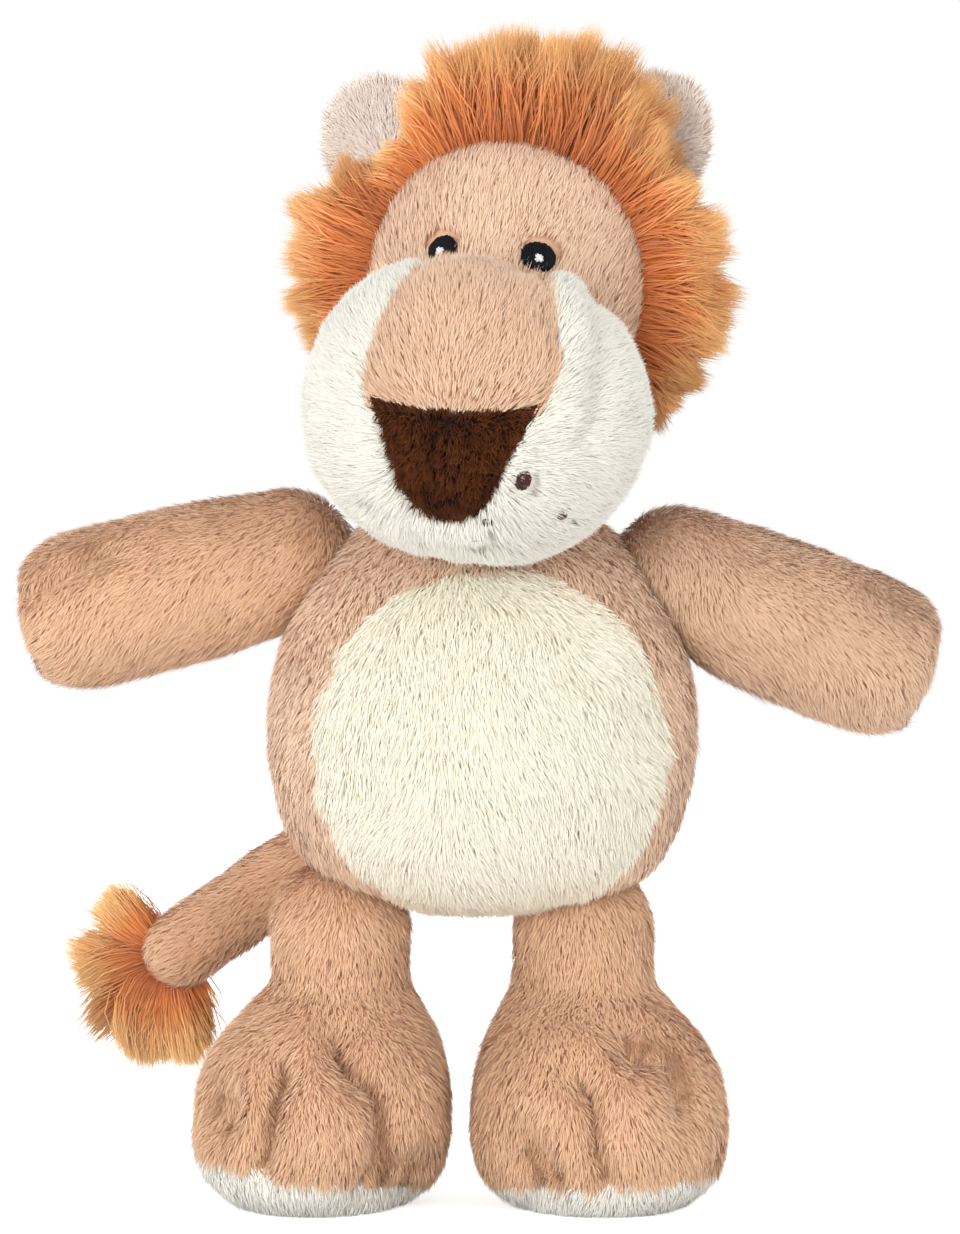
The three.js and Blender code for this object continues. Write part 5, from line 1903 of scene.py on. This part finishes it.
@dataclass
class Ear:
    """One cupped ear with its lining. The pair of spreads is for the right and the left ear."""

    head: Head
    side: Side
    width: float = 37 * MM
    height: float = 44 * MM
    cup: float = 7 * MM
    wall: float = 2.6 * MM
    set_back: float = 25 * MM
    reach: float = 62 * MM
    spreads: tuple[float, float] = (math.radians(-48), math.radians(32))
    pile: Pile = Pile(length=5.4 * MM, root_lift=math.radians(40))
    pile_rise: float = 6 * MM
    pile_depth: float = 0.6 * MM

    def __post_init__(self) -> None:
        """Works out the ear's place, and how far its back layer lies behind the front one."""
        turn = Matrix.Rotation(self.side.of(self.spreads), 4, "Y")
        out = Matrix.Translation((0, self.set_back, self.reach))
        self.place = self.head.place @ Matrix.Translation((0, 0, self.head.skull_rise)) @ turn @ out
        self.layer_gap = self.wall * 0.8

    def layer(self, lift: float, shrink: float) -> Form:
        """One cupped layer of the ear, so far behind the front one and with a rim so much smaller."""
        flap = lens_form((self.width - shrink, self.wall, self.height - shrink), 30, 44)
        flap.points[:, 1] += lift - self.cup * self._share_out(flap.points)
        return flap.moved(self.place)

    def build(self) -> None:
        """Adds the lining, the back and their pile."""
        name, seed = f"{self.side.word}_ear", 401 + self.side.value
        lining, back = self.layer(0, 3 * MM), self.layer(self.layer_gap, 2 * MM)
        add_skin(f"{name}_lining_skin", lining, Finishes.CREAM_BACKING, "head", f"{name}_lining")
        add_skin(f"{name}_back_skin", back, Finishes.TAN_BACKING, "head", f"{name}_back")
        Fur(self.pile, self._nap, self._in_front, seed=seed).grow(
            f"{name}_lining_pile", lining, Finishes.EAR_PILE, "head")
        Fur(self.pile, self._nap, self._behind, seed=seed + 7).grow(
            f"{name}_back_pile", back, Finishes.TAN_PILE, "head")

    def _nap(self, points: Points) -> Points:
        """The ear's pile lies away from its middle, and upwards."""
        return points - np.array(self.place.translation) + np.array([0, 0, self.pile_rise])

    def _share_out(self, points: Points) -> Numbers:
        """How far out points in the ear's frame lie: 0 in the middle, 1 at the rim."""
        return (points[:, 0] / (self.width / 2)) ** 2 + (points[:, 2] / (self.height / 2)) ** 2

    def _rim(self, points: Points) -> Numbers:
        """How far out on the ear packed points lie: 0 in the middle, 1 at the rim."""
        return self._share_out(carried(points, self.place.inverted()))

    def _back(self, points: Points) -> Numbers:
        """How far behind the ear's middle points lie."""
        return (points - np.array(self.place.translation)) @ np.array(self.place)[:3, 1]

    def _in_front(self, points: Points) -> np.ndarray:
        """Whether points of the lining face forward, clear of the skull."""
        cupped = self.cup * self._rim(points)
        return (self._back(points) < self.pile_depth - cupped) & (self.head.skull.depth(points) < 0)

    def _behind(self, points: Points) -> np.ndarray:
        """Whether points of the back face backward and inside the rim, clear of the skull."""
        rim = self._rim(points)
        behind = (self._back(points) > self.layer_gap - self.cup * rim) & (rim < 0.8)
        return behind & (self.head.skull.depth(points) < 0)


@dataclass
class Tuft:
    """The tail's tuft: long pile that fans out round the tip. Reaches are in millimetres by degrees."""

    tail: Tail
    strands: int = 19000
    locks: int = 26
    collar_radius: float = 8.5 * MM
    set_in: float = 6 * MM
    set_back: float = 3 * MM
    pile: LongPile = LongPile()
    droop: float = 0.22
    forward_limit: float = 0.3
    reach_by_turn: Knots = (
        (-105, 24), (-88, 31), (-70, 30), (-50, 25), (-32, 31), (-10, 38), (14, 37), (34, 34), (58, 33),
        (85, 25),
    )

    def build(self) -> None:
        """Adds the tuft's inner cap and its pile."""
        tail = self.tail
        cap = lens_form((2 * self.collar_radius,) * 3, 14, 24)
        middle = tail.end - tail.axis * self.set_in + np.array([0, self.set_back, 0])
        cap = cap.moved(Matrix.Translation(middle))
        add_skin("tuft_cap", cap, Finishes.MANE_BACKING, "tail", "tail_tuft")
        add_piece("tuft_pile", self._pile(middle).mesh("tuft_pile"), Finishes.TUFT_PILE, "tail")

    def _pile(self, middle: Points) -> Strands:
        """Lays the tuft's strands, lock by lock.

        Args:
            middle: The middle of the collar that they grow on.

        Returns:
            The strands.
        """
        rng = np.random.default_rng(501)
        turns, reaches = np.array(self.reach_by_turn, float).T
        lock_turn = rng.uniform(turns[0], turns[-1], self.locks)
        lock_depth = rng.normal(12, 32, self.locks)
        lock_length = np.interp(lock_turn, turns, reaches) * MM * rng.uniform(0.8, 1.08, self.locks)
        lock_bend = rng.normal(0, 22, self.locks)
        lock_tone = rng.normal(0, 0.2, self.locks)
        n = self.strands
        lock = rng.integers(0, self.locks, n)
        turn, depth, bend, tone = (column[lock] for column in (lock_turn, lock_depth, lock_bend, lock_tone))
        aside, astray = rng.normal(0, 11, n), rng.normal(0, 14, n)
        direction = self._direction(turn + aside, depth + astray)
        line = [middle + direction * self.collar_radius * 0.8]
        length = (lock_length[lock] - 0.4 * self.collar_radius) * rng.uniform(0.7, 1.0, n)
        shares = self.pile.steps()
        for share in shares:
            swung = turn + aside * (1 - 1.3 * share) + bend * share
            step = self._direction(swung, depth + astray * (1 - 0.5 * share))
            step = unit(step + np.array([0, 0, -self.droop * share]) + rng.normal(0, 0.08, (n, 3)))
            line.append(line[-1] + step * (length / len(shares))[:, None])
        widths = self.pile.widths(rng, n)
        tones = 0.56 + tone + rng.normal(0, 0.12, n)
        facing = 0.6 * direction + rng.normal(0, 0.3, (n, 3)) + np.array([0, -1.0, 0])
        return Strands(np.stack(line, 1), widths, facing, tones, self.pile.softness)

    def _direction(self, turn: Numbers, depth: Numbers) -> Points:
        """The way pile points, kept behind the tail's end.

        Args:
            turn: Its turn off the tail's axis in the front view, in degrees.
            depth: Its turn away from the viewer, in degrees.

        Returns:
            A direction for each strand.
        """
        axis = self.tail.axis
        across = unit(np.cross(axis, [0, 1.0, 0])[None])[0]
        turn, depth = np.radians(turn), np.radians(depth)
        flat = np.outer(np.cos(turn), axis * np.array([1, 0, 1])) + np.outer(np.sin(turn), across)
        way = unit(flat) * np.cos(depth)[:, None] + np.outer(np.sin(depth), [0, 1.0, 0])
        way[:, 1] = np.where(way[:, 1] < -self.forward_limit, -0.6 * way[:, 1], way[:, 1])
        return unit(way)


@dataclass(frozen=True)
class SeamRoll:
    """The turned-in cloth of a root seam: a ring just inside the root ball, on its joint's middle body."""

    node: str
    body: str
    joint: str
    inwards: tuple[float, float, float]
    root_radius: float
    thickness: float = 2.4 * MM
    stretch: float = 1.7
    sunk: float = 1.4 * MM
    ring_angle: float = math.radians(28)

    def build(self) -> None:
        """Adds the ring."""
        made = bmesh.new()
        bmesh.ops.create_circle(made, segments=10, radius=self.thickness / 2)
        stretch = Matrix.Diagonal((1.0, self.stretch, 1.0, 1.0))
        lean = Matrix.Rotation(math.pi / 2, 4, "X") @ Matrix.Rotation(self.ring_angle - math.pi / 2, 4, "Z")
        reach = self.root_radius - self.sunk - self.thickness / 2
        away = Vector((reach * math.sin(self.ring_angle), 0, reach * math.cos(self.ring_angle)))
        bmesh.ops.transform(made, matrix=Matrix.Translation(away) @ lean @ stretch, verts=made.verts)
        bmesh.ops.spin(
            made, geom=made.verts[:] + made.edges[:], cent=(0, 0, 0), axis=(0, 0, 1), angle=ROUND, steps=44,
            use_merge=True)
        bmesh.ops.recalc_face_normals(made, faces=made.faces)
        turn = Vector((0, 0, 1)).rotation_difference(Vector(self.inwards)).to_matrix().to_4x4()
        place = Matrix.Translation(joint_at(self.joint)) @ turn
        bmesh.ops.transform(made, matrix=place, verts=made.verts)
        name = f"{self.node}_roll"
        piece = add_piece(name, mesh_of(name, made), Finishes.TAN_BACKING, self.body, [self.node])


def seam_rolls(arm: Arm, leg: Leg, tail: Tail, head: Head) -> list[SeamRoll]:
    """Lists every seam roll, as thick as the roots of the neck, either arm, either leg and the tail."""
    below = math.radians(20)
    rolls = [SeamRoll("neck_seam", "neck", "neck_turn", (0, 0, -1), head.neck_radius)]
    for side in Side:
        shoulder, hip = f"{side.word}_shoulder", f"{side.word}_hip"
        swing, splay = f"{side.word}_arm_swing", f"{side.word}_leg_splay"
        inwards = (-side.value * math.cos(below), 0, -math.sin(below))
        rolls += [
            SeamRoll(f"{shoulder}_seam", shoulder, swing, inwards, arm.root_radius),
            SeamRoll(f"{hip}_seam", hip, splay, (0, 0, 1), leg.radius),
        ]
    return rolls + [SeamRoll("tail_seam", "tail_root", "tail_wag", (0, -1, 0), tail.root_radius)]


# Studio


@dataclass(frozen=True)
class Lamp:
    """A soft square lamp."""

    name: str
    place: tuple[float, float, float]
    power: float
    size: float = 1.0

    def build(self, target: Vector) -> None:
        """Adds the lamp, which looks at a target."""
        lamp = bpy.data.lights.new(self.name, "AREA")
        lamp.size = self.size
        lamp.energy = self.power
        light = bpy.data.objects.new(self.name, lamp)
        light.location = self.place
        light.rotation_euler = (target - Vector(self.place)).to_track_quat("-Z", "Y").to_euler()
        bpy.context.scene.collection.objects.link(light)


@dataclass(frozen=True)
class Studio:
    """Camera, floor and light."""

    distance: float = 1.3
    height: float = 0.1785
    pixels_per_mm: float = 3.29
    photo_height: int = 1234
    sensor: float = 36
    surround: float = 0.87
    floor_size: float = 4
    floor_grey: float = 0.92
    floor_glow: float = 0.7
    lamps: tuple[Lamp, ...] = (Lamp("key", (-0.8, -1.65, 0.2), 22), Lamp("fill", (1.2, -1.4, 0.16), 7.5))

    def build(self) -> None:
        """Adds the camera, a white floor and soft light from the front."""
        self._camera()
        self._floor()
        self._world()
        for lamp in self.lamps:
            lamp.build(Vector((0, 0, self.height)))
        bpy.context.scene.view_settings.view_transform = "Standard"

    def _camera(self) -> None:
        """Adds the camera, level with the lion's middle."""
        camera = bpy.data.cameras.new("camera")
        camera.sensor_fit = "VERTICAL"
        camera.sensor_height = self.sensor
        camera.lens = self.pixels_per_mm * self.distance / MM / self.photo_height * self.sensor
        view = bpy.data.objects.new("camera", camera)
        view.location = (0, -self.distance, self.height)
        view.rotation_euler = (math.pi / 2, 0, 0)
        bpy.context.scene.collection.objects.link(view)
        bpy.context.scene.camera = view

    def _floor(self) -> None:
        """Adds a floor that shows white where nothing shades it."""
        made = bmesh.new()
        bmesh.ops.create_grid(made, x_segments=1, y_segments=1, size=self.floor_size)
        floor = bpy.data.objects.new("floor", mesh_of("floor", made))
        bpy.context.scene.collection.objects.link(floor)
        material, tree, shader = new_material("floor")
        glow = add_node(tree, "Math", {0: self._seen(tree), 1: self.floor_glow}, operation="MULTIPLY")
        feed(tree, shader, {
            "Base Color": (*(self.floor_grey,) * 3, 1), "Roughness": 1, "Specular IOR Level": 0,
            "Emission Color": (1, 1, 1, 1), "Emission Strength": glow.outputs["Value"],
        })
        floor.data.materials.append(material)
        floor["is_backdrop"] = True

    @staticmethod
    def _seen(tree: bpy.types.NodeTree) -> bpy.types.NodeSocket:
        """Makes an output that gives 1 to the camera and in reflections, and 0 to light."""
        path = add_node(tree, "LightPath", {})
        seen = path.outputs["Is Camera Ray"]
        for name in ("Is Glossy Ray", "Is Transmission Ray"):
            both = add_node(tree, "Math", {0: seen, 1: path.outputs[name]}, operation="MAXIMUM")
            seen = both.outputs["Value"]
        return seen

    def _world(self) -> None:
        """Adds a plain white surround."""
        world = bpy.data.worlds.new("studio")
        bpy.context.scene.world = world
        world.use_nodes = True
        tree = world.node_tree
        strength = add_node(
            tree, "MapRange", {"Value": self._seen(tree), "To Min": self.surround, "To Max": 1})
        feed(tree, tree.nodes["Background"], {
            "Color": (1, 1, 1, 1), "Strength": strength.outputs["Result"],
        })


def write_sizes() -> None:
    """Works out the CAD box and the dressed model's box."""
    boxes = {"cad": CAD_BOUNDS, "visual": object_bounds()}
    lists = {name: [[float(n) for n in corner] for corner in box] for name, box in boxes.items()}


def main() -> None:
    """Builds the lion piece by piece."""
    logging.basicConfig(level=logging.INFO, format="%(message)s")
    Studio().build()
    body, head, tail = Body(), Head(), Tail()
    face = Face(head)
    arms = [Arm(side) for side in Side]
    legs = [Leg(side) for side in Side]
    body.build([limb.form for limb in arms + legs])
    head.build(face.clear_of_stitches)
    face.build()
    Mane(head).build()
    for side in Side:
        Ear(head, side).build()
    for limb in (*arms, *legs, tail):
        limb.build(body.form)
    Tuft(tail).build()
    for seam_roll in seam_rolls(arms[0], legs[0], tail, head):
        seam_roll.build()
    write_sizes()


if __name__ == "__main__":
    main()
